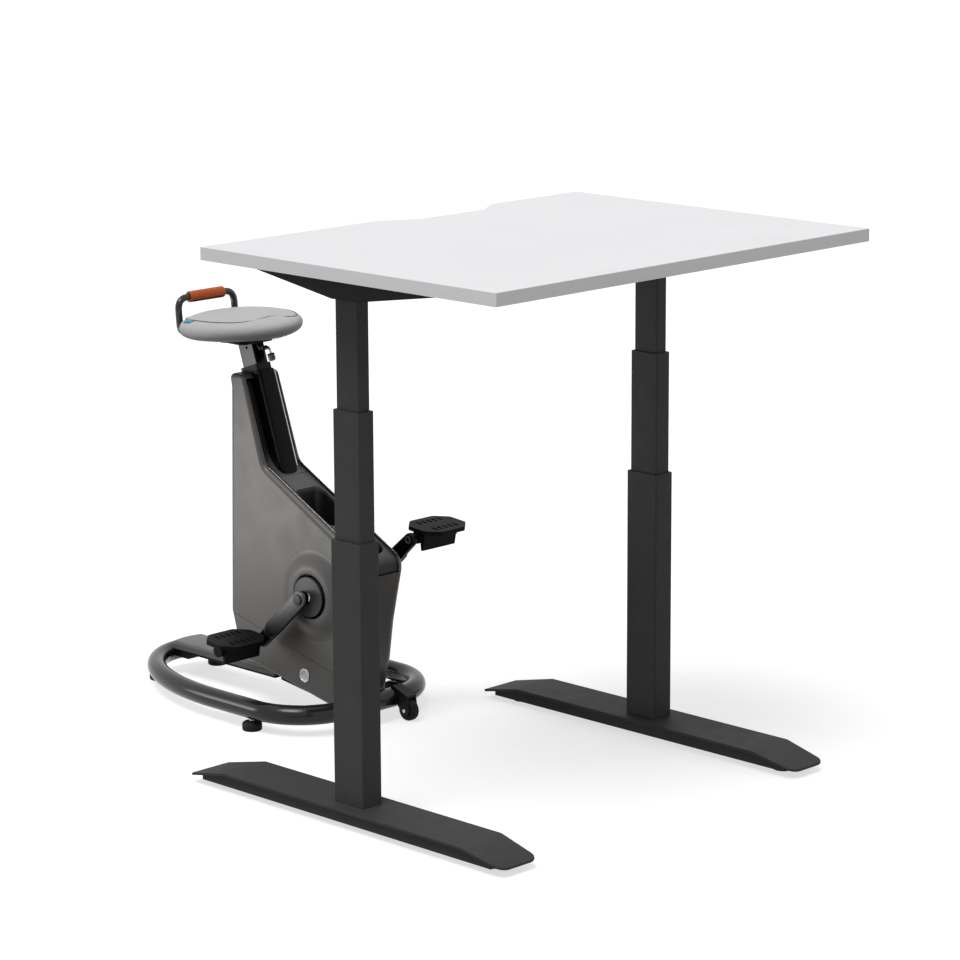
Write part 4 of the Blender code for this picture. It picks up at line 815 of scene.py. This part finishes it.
def trough_skin():
    """Skin of the trough: it carries the deck up in a curve behind the slide cover and on to the collar.

    Its section is a hollow that rises to both rims as the fourth power of the distance from the middle.
    """
    bend_y, bend_z, top = 0.1693, 0.5207, 0.692
    upper_end = (0, bend_y + (top - bend_z) * math.tan(LEAN), top, 0)
    line = soft_path([(0, 0.1290, 0.4995, 0), (0, bend_y, bend_z, 0.030), upper_end], 90, 24)
    climb = smoothstep((line[:, 2] - 0.512) / 0.040)
    rows = []
    for x in np.linspace(-0.0430, 0.0430, 33):
        forward = 0.0150 * (x / 0.043) ** 4 * climb
        back = 0.0050 * climb
        rows.append(line + np.column_stack([np.full(90, x), (back - forward) * math.cos(LEAN),
                                            (forward - back) * math.sin(LEAN)]))
    over = np.array(rows) + BIKE
    keep("trough_skin", tab_mesh(over - (0, -0.0004, 0.0010), over), "bike_body", TROUGH)


def body():
    for side, _ in SIDES:
        smooth_copy(side + "_side_shell", SHELL, 40)
    smooth_copy("lower_skirt", SHELL, 40)
    smooth_copy("deck_cover", DECK, 30, 0.0008)
    smooth_copy("channel_liner", BLACK_PLASTIC, 30, 0.0004)
    smooth_copy("post_collar", BLACK_PLASTIC, 30, 0.0008)
    smooth_copy("main_frame", BLACK_PAINT, 30)
    bosses()
    trim_lines()
    badge()
    hubs()
    slide_cover()
    trough_skin()


# Cranks and pedals

def arm_place(sign):
    """Places points (along the arm, across it, outwards) on the arm of a side, at rest."""
    outward_axis = np.array([sign, 0, 0])
    along = np.array([0, math.cos(-CRANK_TURN), math.sin(-CRANK_TURN)]) * -sign
    across = np.cross(outward_axis, along)

    def here(rows):
        return rows[..., :1] * along + rows[..., 1:2] * across + rows[..., 2:] * outward_axis + CRANK_AXIS
    return here


def soft_bar(start, end, wide, middle_out, half_thick, crown, place):
    """Bar lofted from start to end: its section is a soft rectangle, as wide as a function of the length says.

    The power crown flattens the section's circle. Both ends close in half circles of the local width.
    """
    count = 40
    angle = np.linspace(0, 2 * math.pi, 48, endpoint=False)
    ring = np.stack([np.sign(np.cos(angle)) * np.abs(np.cos(angle)) ** crown,
                     np.sign(np.sin(angle)) * np.abs(np.sin(angle)) ** crown], axis=1)
    s = (start + end) / 2 - (end - start) / 2 * np.cos(np.linspace(0, math.pi, count))
    near_start = np.clip((s - start) / wide(start), 0, 1)
    near_end = np.clip((end - s) / wide(end), 0, 1)
    w = wide(s)
    w = w * np.sqrt(np.maximum(1 - (1 - near_start) ** 2, 0)) * np.sqrt(np.maximum(1 - (1 - near_end) ** 2, 0))
    thick = half_thick * (0.80 + 0.20 * np.minimum(near_start, near_end) ** 0.5)
    rows = np.empty((count, len(ring), 3))
    rows[..., 0] = s[:, None]
    rows[..., 1] = ring[:, 0] * np.maximum(w, 0.0004)[:, None]
    rows[..., 2] = middle_out + ring[:, 1] * thick[:, None]
    return surface(place(rows))


def arm_width(s):
    """Half width of an arm at a distance from the crank axis."""
    return np.interp(s, [-0.02, 0.03, 0.11, 0.19], [0.0165, 0.0168, 0.0172, 0.0145])


def cover_width(s):
    return arm_width(s) + 0.0007


def crank_arms():
    """Black arm with a grey cover, its bolt cap, and the ends of the pedal's axle and of the spindle."""
    for side, sign in SIDES:
        here = arm_place(sign)
        core = keep(side + "_crank_core", soft_bar(-0.0165, 0.183, arm_width, 0.0985, 0.0086, 0.62, here),
                    "crankset", GLOSS_BLACK)
        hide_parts(side + "_crank_arm")
        keep(side + "_crank_cover", soft_bar(-0.0172, 0.140, cover_width, 0.1052, 0.0052, 0.85, here),
             "crankset", GREY_ARM)
        # Bolt cap with a dark groove round it, and the spindle's steel end between the hub disc and the arm
        for word, start, end, radius, edge, look, around in (
                ("cap_ring", 0.1040, 0.1106, 0.0122, 0.0004, GLOSS_BLACK, 64),
                ("bolt_cap", 0.1040, 0.1138, 0.0112, 0.0009, HUB_GREY, 64),
                ("spindle_end", 0.0745, 0.0895, 0.0102, 0, STEEL, 48)):
            profile = rounded_profile([(start, 0, 0), (start, radius, 0), (end, radius, edge), (end, 0, 0)], 4)
            profile[:, 0] *= sign
            keep("%s_%s" % (side, word), turned(profile, CRANK_AXIS, "x", around), "crankset", look)
        # Ring round the end of the pedal's axle, on the inner face
        end = here(np.array([CRANK_LENGTH, 0, 0.0880]))
        ring = rounded_profile([(0.0, 0.0042, 0), (0.0, 0.0085, 0), (-0.0022, 0.0085, 0.0006),
                                (-0.0022, 0.0042, 0)], 4)
        ring[:, 0] *= sign
        keep(side + "_axle_ring", turned(ring, end + (sign * 0.0022, 0, 0), "x", 40), "crankset", HUB_GREY)


def pedals():
    for side, _ in SIDES:
        smooth_copy(side + "_pedal", PEDAL_BLACK, 30, 0.0010)


# Saddle, handle and lever

def saddle_plan(angle):
    """Outline of the saddle: an ellipse that narrows a little in front."""
    across, along = np.cos(angle), np.sin(angle)
    power = 2 / 2.1
    x = SADDLE_HALF * np.sign(across) * np.abs(across) ** power
    y = np.where(along > 0, SADDLE_BACK, SADDLE_FRONT) * np.sign(along) * np.abs(along) ** power
    x = np.where(along < 0, x * (1 - 0.26 * along ** 2), x)
    return x, y


# Profile of the saddle from the middle of its base round to the middle of its top: share of the outline, height
SADDLE_ROWS = np.array([
    (0.000, 0.0085), (0.400, 0.0085), (0.700, 0.0085), (0.830, 0.0094), (0.910, 0.0113), (0.960, 0.0141),
    (0.983, 0.0172), (0.995, 0.0210), (1.000, 0.0255), (1.000, 0.0292), (0.996, 0.0326), (0.986, 0.0360),
    (0.970, 0.0392), (0.948, 0.0420), (0.925, 0.0440), (0.900, 0.0458), (0.840, 0.0492), (0.760, 0.0523),
    (0.640, 0.0548), (0.520, 0.0562), (0.400, 0.0570), (0.260, 0.0575), (0.120, 0.0577), (0.000, 0.0577),
])
SADDLE_COLUMNS = 288
# Seam of the top panel: direction in degrees, share of the outline
SEAM = np.array([
    (0, 0.86), (30, 0.88), (60, 0.93), (95, 0.95), (130, 0.92), (146, 0.86), (162, 0.81), (182, 0.775),
    (203, 0.78), (222, 0.78), (231, 0.76), (242, 0.715), (258, 0.635), (270, 0.59), (279, 0.575),
    (287, 0.595), (294, 0.67), (301, 0.80), (310, 0.87), (322, 0.90), (340, 0.88), (360, 0.86),
])


def nose_lift(y, share, height):
    """Rise of the rim towards the nose, most of it on its underside; it drops a little behind."""
    amount = np.where(y < 0, 0.0040 + 0.0050 * (1 - height / 0.0575), 0.0020)
    return -amount * y / SADDLE_FRONT * np.maximum(share - 0.70, 0) / 0.30


def saddle_grid(rows, columns, shrink=0.0):
    """Saddle skin: each row is the outline scaled by a share, at a height above the base."""
    angle = np.linspace(0, 2 * math.pi, columns, endpoint=False)
    x, y = saddle_plan(angle)
    share, height = rows[:, :1], rows[:, 1:]
    grid = np.empty((len(rows), columns, 3))
    grid[..., 0] = x * share
    grid[..., 1] = y * share + SADDLE_Y
    grid[..., 2] = height + SADDLE_BASE + nose_lift(y * share, share, height)
    centre = np.array([0, SADDLE_Y, SADDLE_BASE + 0.028])
    if shrink:
        away = grid - centre
        length = np.linalg.norm(away, axis=-1, keepdims=True)
        grid = centre + away * (1 - shrink / np.maximum(length, 0.02))
    return grid + BIKE


def cushion_mesh(start):
    """Pad blown up as cloth from a slightly smaller shape, held along its base, and kept within 2 mm of it."""
    pad = bpy.data.objects.new("pad", start)
    bpy.context.scene.collection.objects.link(pad)
    remesh = pad.modifiers.new("even faces", "REMESH")
    remesh.mode = "VOXEL"
    remesh.voxel_size = 0.005
    bpy.context.view_layer.update()
    even = finished(pad)
    pad.modifiers.clear()
    pad.data = even
    rest = points_of(even)
    held = pad.vertex_groups.new(name="held")
    base = np.flatnonzero(rest[:, 2] < SADDLE_BASE + 0.0140)
    held.add(base.tolist(), 1.0, "REPLACE")
    cloth = pad.modifiers.new("cloth", "CLOTH")
    cloth.settings.quality = 6
    cloth.settings.mass = 0.3
    cloth.settings.tension_stiffness = 25
    cloth.settings.compression_stiffness = 25
    cloth.settings.bending_stiffness = 2.0
    cloth.settings.vertex_group_mass = "held"
    cloth.settings.use_pressure = True
    cloth.settings.uniform_pressure_force = 2.0
    cloth.settings.effector_weights.gravity = 0
    for number in range(1, 21):
        bpy.context.scene.frame_set(number)
    blown = finished(pad)
    bpy.context.scene.frame_set(1)
    moved = points_of(blown) - rest
    reach = np.linalg.norm(moved, axis=1, keepdims=True)
    now = rest + moved * np.minimum(1, 0.002 / np.maximum(reach, 1e-9))
    blown.vertices.foreach_set("co", now.ravel())
    bpy.data.objects.remove(pad)
    return blown


def seam_share(angle):
    """Share of the outline at which the top panel's seam runs, smoothed over 12 degrees."""
    degrees = np.degrees(np.asarray(angle, float))[..., None] + np.linspace(-6, 6, 13)
    return np.interp(degrees % 360, SEAM[:, 0], SEAM[:, 1]).mean(axis=-1)


def panel_height(share):
    """Height of the upper side of the profile at a share."""
    upper = SADDLE_ROWS[9:][::-1]
    return np.interp(share, upper[:, 0], upper[:, 1])


def drawn_onto(skin_mesh, pad_mesh):
    """The skin's mesh, moved onto the nearest places of the pad."""
    pad, skin = bpy.data.objects.new("pad_form", pad_mesh), bpy.data.objects.new("skin", skin_mesh)
    for helper in (pad, skin):
        bpy.context.scene.collection.objects.link(helper)
    wrap = skin.modifiers.new("wrap", "SHRINKWRAP")
    wrap.target = pad
    wrap.wrap_method = "NEAREST_SURFACEPOINT"
    bpy.context.view_layer.update()
    result = finished(skin)
    for helper in (pad, skin):
        bpy.data.objects.remove(helper)
    return result


def saddle():
    """Cushion: rows run evenly along the profile, and a groove is pressed in along the seam."""
    share, height = SADDLE_ROWS[:, 0], SADDLE_ROWS[:, 1]
    step = np.concatenate([[0], np.cumsum(np.hypot(np.diff(share) * SADDLE_FRONT, np.diff(height)))])
    at = np.linspace(0.02, step[-1] - 0.001, 92)
    rows = np.column_stack([np.interp(at, step, share), np.interp(at, step, height)])
    mesh = surface(saddle_grid(rows, SADDLE_COLUMNS))
    mesh = drawn_onto(mesh, cushion_mesh(surface(saddle_grid(SADDLE_ROWS[1:-1], 96, 0.0018))))
    points, normals = points_of(mesh), points_of(mesh, "normal")
    local = points - BIKE - (0, SADDLE_Y, SADDLE_BASE)
    reach = np.where(local[:, 1] > 0, SADDLE_BACK, SADDLE_FRONT)
    theta = np.arctan2(local[:, 1] / reach, local[:, 0] / SADDLE_HALF)
    ratio = np.hypot(local[:, 0], local[:, 1]) / np.hypot(*saddle_plan(theta))
    off = (ratio - seam_share(theta)) * SADDLE_FRONT
    groove = np.where(local[:, 2] > 0.03, np.exp(-(off / 0.0022) ** 2), 0)
    points = points - normals * (groove * 0.0016)[:, None]
    mesh.vertices.foreach_set("co", points.ravel())
    cushion = keep("saddle_cushion", mesh, "seat", COVER)
    level = cushion.modifiers.new("smooth", "SUBSURF")
    level.levels = level.render_levels = 1
    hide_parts("saddle")


def saddle_seam():
    """Sewn line in the groove, just proud of its bottom."""
    angle = np.linspace(0, 2 * math.pi, SADDLE_COLUMNS, endpoint=False)
    edge = seam_share(angle)
    x, y = saddle_plan(angle)
    height = panel_height(edge)
    height = height + nose_lift(y * edge, edge, height)
    line = np.column_stack([x * edge, y * edge + SADDLE_Y, height + SADDLE_BASE - 0.0004]) + BIKE
    keep("saddle_seam", tube(line, 0.0007, 8, closed=True, up=(0, 0, 1)), "seat", THREAD)


def saddle_underside():
    """Dust cloth under the base, and its staples."""
    x, y = saddle_plan(np.linspace(0, 2 * math.pi, SADDLE_COLUMNS // 2, endpoint=False))
    levels = [(0.024, SADDLE_BASE - 0.0002), (0.020, SADDLE_BASE + 0.0010), (0, SADDLE_BASE + 0.0080),
              (0.001, SADDLE_BASE + 0.0095)]
    pan = plate(np.column_stack([x, y]) * 0.62, levels, lambda rows: rows + BIKE + (0, SADDLE_Y, 0))
    keep("saddle_dust_cloth", pan, "seat", DUST_CLOTH)
    staples = []
    share, leg = 0.72, -0.0009
    for a in np.linspace(0, 2 * math.pi, 46, endpoint=False):
        x, y = saddle_plan(np.array([a - 0.02, a + 0.02]))
        x, y = x * share, y * share
        wire = [(x[0], y[0], 0), (x[0], y[0], leg), (x[1], y[1], leg), (x[1], y[1], 0)]
        path = np.array(wire) + BIKE + (0, SADDLE_Y, SADDLE_BASE + 0.0090)
        staples.append(tube(resampled(path, 9), 0.0006, 6))
    keep("saddle_staples", joined(staples), "seat", BLACK_PLASTIC)


def saddle_tab():
    """Plain tab sewn into the seam."""
    around = np.radians(np.linspace(152, 167, 14))
    xs, ys = saddle_plan(around)
    share = seam_share(around)[None, :] + np.linspace(0.004, 0.085, 10)[:, None]
    level = panel_height(share)
    level = level + SADDLE_BASE + nose_lift(ys * share, share, level)
    grid = np.stack([xs * share, ys * share + SADDLE_Y, level], axis=-1)
    away = grid - (0, SADDLE_Y, SADDLE_BASE + 0.010)
    away /= np.linalg.norm(away, axis=-1, keepdims=True)
    keep("plain_tab", tab_mesh(grid + away * 0.0003 + BIKE, grid + away * 0.0022 + BIKE), "seat", BLUE_TAB)


def tab_mesh(under, over):
    """Closed sheet between two grids of the same size."""
    rows, columns = under.shape[:2]
    ring = [(0, c) for c in range(columns)] + [(r, columns - 1) for r in range(1, rows)]
    ring += [(rows - 1, c) for c in range(columns - 2, -1, -1)] + [(r, 0) for r in range(rows - 2, 0, -1)]
    count = rows * columns
    faces = grid_faces(rows, columns, False, False) + grid_faces(rows, columns, False, False, count)
    index = [r * columns + c for r, c in ring]
    faces += [(i, j, j + count, i + count) for i, j in zip(index, index[1:] + index[:1])]
    mesh = bpy.data.meshes.new("sheet")
    mesh.from_pydata(np.vstack([under.reshape(-1, 3), over.reshape(-1, 3)]).tolist(), [], faces)
    return outward(mesh)


def handle():
    """Bent tube that rises behind the saddle, its leather grip, and two rows of stitches under the grip."""
    low = SADDLE_BASE + 0.0030
    corners = [(-0.034, 0.290, low, 0), (-0.065, 0.355, low, 0.016),
               (-HANDLE_HALF, HANDLE_Y - 0.006, low + 0.0100, 0.012), (-HANDLE_HALF, HANDLE_Y, HANDLE_Z, 0.026)]
    corners += [(-x, y, z, r) for x, y, z, r in corners[::-1]]
    piece = keep("handle_tube", tube(soft_path(corners, 150) + BIKE, 0.0075, 28), "seat", HANDLE_BLACK)
    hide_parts("carry_handle")
    half, radius, bore = GRIP_HALF, GRIP_RADIUS, 0.0078
    profile = rounded_profile([(-half, bore, 0), (-half, radius, 0.0035), (half, radius, 0.0035),
                               (half, bore, 0)], 9)
    grip = keep("grip_leather", turned(profile, BIKE + (0, HANDLE_Y, HANDLE_Z), "x", 64), "seat", TAN)
    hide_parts("handle_grip")
    stitches = []
    for k in range(27):
        x = -half + 0.006 + k * (2 * half - 0.012) / 26
        for tilt, turn in ((-150, 1), (-128, -1)):
            ends = [(x + run, math.cos(a) * (radius + 0.0004), math.sin(a) * (radius + 0.0004))
                    for run, a in ((0, math.radians(tilt)), (0.0016, math.radians(tilt + 14 * turn)))]
            stitches.append(tube(resampled(ends, 4) + BIKE + (0, HANDLE_Y, HANDLE_Z), 0.0009, 6))
    keep("grip_stitches", joined(stitches), "seat", BLACK_PLASTIC)


def post_strip():
    """Thin black strip down the post's front face, in the post's own lean, and beside it a bright line that is a
    painted highlight of the post's edge.
    """
    low, high, half = -0.185, 0.052, 0.0152
    outline = rounded_profile([(-half, low, 0.001), (half, low, 0.001), (half, high, 0.001),
                               (-half, high, 0.001)], 3)

    def here(rows):
        return on_post(np.stack([rows[..., 0], -rows[..., 2], rows[..., 1]], axis=-1))

    keep("post_strip", plate(outline, [(0, 0.0222), (0, 0.0227), (0.0002, 0.0229)], here), "seat", GLOSS_BLACK)
    # Painted highlight: a thin near-white tube along the post's far front edge
    path = here(np.column_stack([np.full(60, half + 0.0008), np.linspace(low, high, 60), np.full(60, 0.0222)]))
    keep("post_painted_highlight", tube(path, 0.0006, 10), "seat", PAINTED_HIGHLIGHT_LINE)


def lever():
    """Release lever: a black pivot barrel, a bent bright neck, and a grey knob under a black ring."""
    pivot = BIKE + (0, 0.2125, 0.7622)
    half = 0.0064
    barrel = rounded_profile([(-half, 0, 0), (-half, 0.0048, 0.0006), (half, 0.0048, 0.0006), (half, 0, 0)], 4)
    body_name = BODY_OF["height_lever"]
    base_piece = keep("lever_pivot", turned(barrel, pivot, "x", 40), body_name, BLACK_PLASTIC)
    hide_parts("height_lever")
    elbow = np.array([0, 0.1975, 0.7640])
    foot = np.array([0, 0.1915, 0.7505])
    arm = soft_path([(0, 0.2110, 0.7625, 0), (*elbow, 0.008), (*foot, 0)], 40, 12) + BIKE
    thick = np.where(np.arange(40) < 17, 0.0040, 0.0033)
    keep("lever_arm", tube(arm[:18], thick[:18], 20), body_name, BLACK_PLASTIC)
    keep("lever_neck", tube(arm[17:], thick[17:], 20), body_name, SILVER)
    down = (foot - elbow) / np.linalg.norm(foot - elbow)
    angle = np.linspace(0, 2 * math.pi, 48, endpoint=False)
    ring = np.array([1.0, 0, 0]) * np.cos(angle)[:, None] + np.cross(down, (1.0, 0, 0)) * np.sin(angle)[:, None]
    # Each of the two is a profile of (distance down from the arm's end, radius)
    ring_steps = [(-0.0022, 0.0), (-0.0022, 0.0072), (-0.0012, 0.0080), (0.0006, 0.0080), (0.0006, 0.0)]
    knob_steps = [(0.0006, 0.0), (0.0006, 0.0072), (0.0020, 0.0078), (0.0100, 0.0076), (0.0124, 0.0066),
                  (0.0138, 0.0044), (0.0140, 0.0)]
    for word, steps, look in (("lever_ring", ring_steps, GLOSS_BLACK), ("lever_knob", knob_steps, KNOB_GREY)):
        steps = np.array(steps)
        rows = foot + BIKE + down * steps[:, :1][:, None] + ring * steps[:, 1:][:, None]
        keep(word, surface(rows), body_name, look)


def draw_in_plate(post):
    """Draws the rim of the seat plate in towards its middle, so that the cushion hides it."""
    points = points_of(post.data)
    high = points[:, 2] > SADDLE_BASE - 0.0045
    centre = (points[high].min(0) + points[high].max(0)) / 2
    # The post's own end, which stays as it is, lies within this half width and half depth
    post_y, half_x, half_y = 0.2584, 0.0175, 0.0265
    rim = high & ((abs(points[:, 0] - BIKE[0]) > half_x) | (abs(points[:, 1] - BIKE[1] - post_y) > half_y))
    points[rim, :2] = centre[:2] + (points[rim, :2] - centre[:2]) * 0.62
    post.data.vertices.foreach_set("co", points.ravel())


def seat():
    draw_in_plate(smooth_copy("seat_post", POST_PAINT, 30, 0.0008))
    post_strip()
    lever()
    saddle()
    saddle_seam()
    saddle_underside()
    saddle_tab()
    handle()


# Desk

def screws(places, name, body_name):
    """Pan heads with a recess, each a turned cap, at places under a flat face."""
    radius, height = 0.0026, 0.0012
    profile = rounded_profile([(0.0, 0, 0), (0.0, radius, 0), (-height, radius * 0.96, height * 0.6),
                               (-height, radius * 0.42, 0), (-height * 0.45, radius * 0.34, 0),
                               (-height * 0.45, 0, 0)], 5)
    keep(name, joined([turned(profile, place, "z", 24) for place in places]), body_name, STEEL)


def desk():
    smooth_copy("desktop", BOARD, 30)
    smooth_copy("cross_rails", BLACK_PAINT, 30, 0.0006)
    for side, _ in SIDES:
        for stage_word in ("outer", "middle", "inner"):
            smooth_copy("%s_%s_column" % (side, stage_word), DARK_PAINT, 30, 0.0004)
        smooth_copy(side + "_foot", FOOT_PAINT, 30, 0.0008)
        smooth_copy(side + "_side_bracket", BLACK_PAINT, 30, 0.0004)
        smooth_copy(side + "_lift_motor", MOTOR, 30, 0.0008)
    for node in ("control_box", "handset"):
        smooth_copy(node, BLACK_PLASTIC, 30, 0.0008)
    for node, turn in (("up_key", 1), ("down_key", -1)):
        smooth_copy(node, BLACK_PLASTIC, 30, 0.0004)
        x, y, z = middle(node)[0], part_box(node)[1][1], middle(node)[2]
        arrow = plate([(-0.0030, -0.0018 * turn), (0.0030, -0.0018 * turn), (0.0, 0.0030 * turn)],
                      [(0, -0.0001), (0, 0.0003), (0.0002, 0.0004)],
                      lambda rows: np.stack([x - rows[..., 0], y + rows[..., 2], z + rows[..., 1]], axis=-1))
        keep(node + "_arrow", arrow, BODY_OF[node], LIGHT_PLASTIC, smooth=False)
    for node, edge in (("control_box", 0.008), ("handset", 0.006)):
        low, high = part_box(node)
        places = [(x, y, low[2]) for x in (low[0] + edge, high[0] - edge)
                  for y in (low[1] + edge, high[1] - edge)]
        screws(places, node + "_screws", BODY_OF[node])


# Room, light and camera

def seen_rays(nodes, links):
    """1 for a ray that comes from the camera, straight or by way of a shiny or clear surface, and else 0."""
    rays = nodes.new("ShaderNodeLightPath")
    value = rays.outputs["Is Camera Ray"]
    for name in ("Is Glossy Ray", "Is Transmission Ray"):
        larger = nodes.new("ShaderNodeMath")
        larger.operation = "MAXIMUM"
        links.new(value, larger.inputs[0])
        links.new(rays.outputs[name], larger.inputs[1])
        value = larger.outputs["Value"]
    return value


def room():
    """Pale floor that shows only shade to the camera, a white world, a wide sun and one soft lamp."""
    bpy.ops.mesh.primitive_plane_add(size=60)
    floor = bpy.context.active_object
    floor.name = "studio_floor"
    floor_look = Finish("pale floor", "white_board", 0.9, specular=0.0)
    seen = seen_rays(floor_look.nodes, floor_look.links)
    floor_look.colour(floor_look.mix(seen, (0.30, 0.30, 0.30, 1), (0.50, 0.50, 0.50, 1)))
    floor_look.shader.inputs["Emission Color"].default_value = (1, 1, 1, 1)
    floor_look.drive("Emission Strength", floor_look.maths("MULTIPLY", seen, 0.665))
    floor.data.materials.append(floor_look.material)

    world = bpy.data.worlds.new("studio")
    bpy.context.scene.world = world
    world.use_nodes = True
    nodes, links = world.node_tree.nodes, world.node_tree.links
    background = nodes["Background"]
    background.inputs["Color"].default_value = (1, 1, 1, 1)
    strength = nodes.new("ShaderNodeMapRange")
    strength.inputs["To Min"].default_value = 0.36
    strength.inputs["To Max"].default_value = 1.0
    links.new(seen_rays(nodes, links), strength.inputs["Value"])
    links.new(strength.outputs["Result"], background.inputs["Strength"])

    sun = bpy.data.lights.new("sun", "SUN")
    sun.energy = 2.1
    sun.angle = math.radians(30)
    lamp = bpy.data.objects.new("sun", sun)
    aim = np.array((-0.39, -0.11, 0.91))
    lamp.rotation_mode = "QUATERNION"
    lamp.rotation_quaternion = Vector(aim.tolist()).to_track_quat("Z", "Y")
    bpy.context.scene.collection.objects.link(lamp)

    soft = bpy.data.lights.new("soft", "AREA")
    soft.energy = 1.3
    soft.size = 0.5
    soft.spread = math.radians(75)
    lamp = bpy.data.objects.new("soft", soft)
    spot = Vector((BIKE[0] - 0.80, BIKE[1] + 0.80, 0.38))
    lamp.location = spot
    lamp.rotation_mode = "QUATERNION"
    lamp.rotation_quaternion = (spot - Vector((BIKE[0], BIKE[1] + 0.26, 0.40))).to_track_quat("Z", "Y")
    bpy.context.scene.collection.objects.link(lamp)


def camera():
    """Camera where the photograph was taken: turned 45 degrees from the desk's depth and a little down."""
    yaw, pitch, roll = math.radians(45.42), math.radians(12.53), math.radians(-0.29)
    ahead = np.array([math.sin(yaw) * math.cos(pitch), math.cos(yaw) * math.cos(pitch), -math.sin(pitch)])
    right = np.array([math.cos(yaw), -math.sin(yaw), 0])
    up = np.cross(right, ahead)
    across = right * math.cos(roll) + up * math.sin(roll)
    over = -right * math.sin(roll) + up * math.cos(roll)
    lens = bpy.data.cameras.new("camera")
    lens.lens = 3500 / 960 * 36
    lens.sensor_width = 36
    lens.clip_end = 200
    eye = bpy.data.objects.new("camera", lens)
    turn = Matrix((across, over, -ahead)).transposed().to_4x4()
    # The camera's place is measured from the floor under the middle of the desktop
    eye.matrix_world = Matrix.Translation((-4.807, -4.574 + middle("desktop")[1], 2.094)) @ turn
    bpy.context.scene.collection.objects.link(eye)
    bpy.context.scene.camera = eye


camera()
base()
casters()
body()
crank_arms()
pedals()
seat()
desk()
room()
# Each solid that still shows takes the finish of its own slot
for part in frame["record"]["subparts"]:
    node = frame["nodes"][part["node"]]
    if not node.hide_render:
        node.data.materials.clear()
        node.data.materials.append(LOOK_OF_SLOT[part["material_slot"]])
bpy.context.scene.view_settings.view_transform = "Standard"
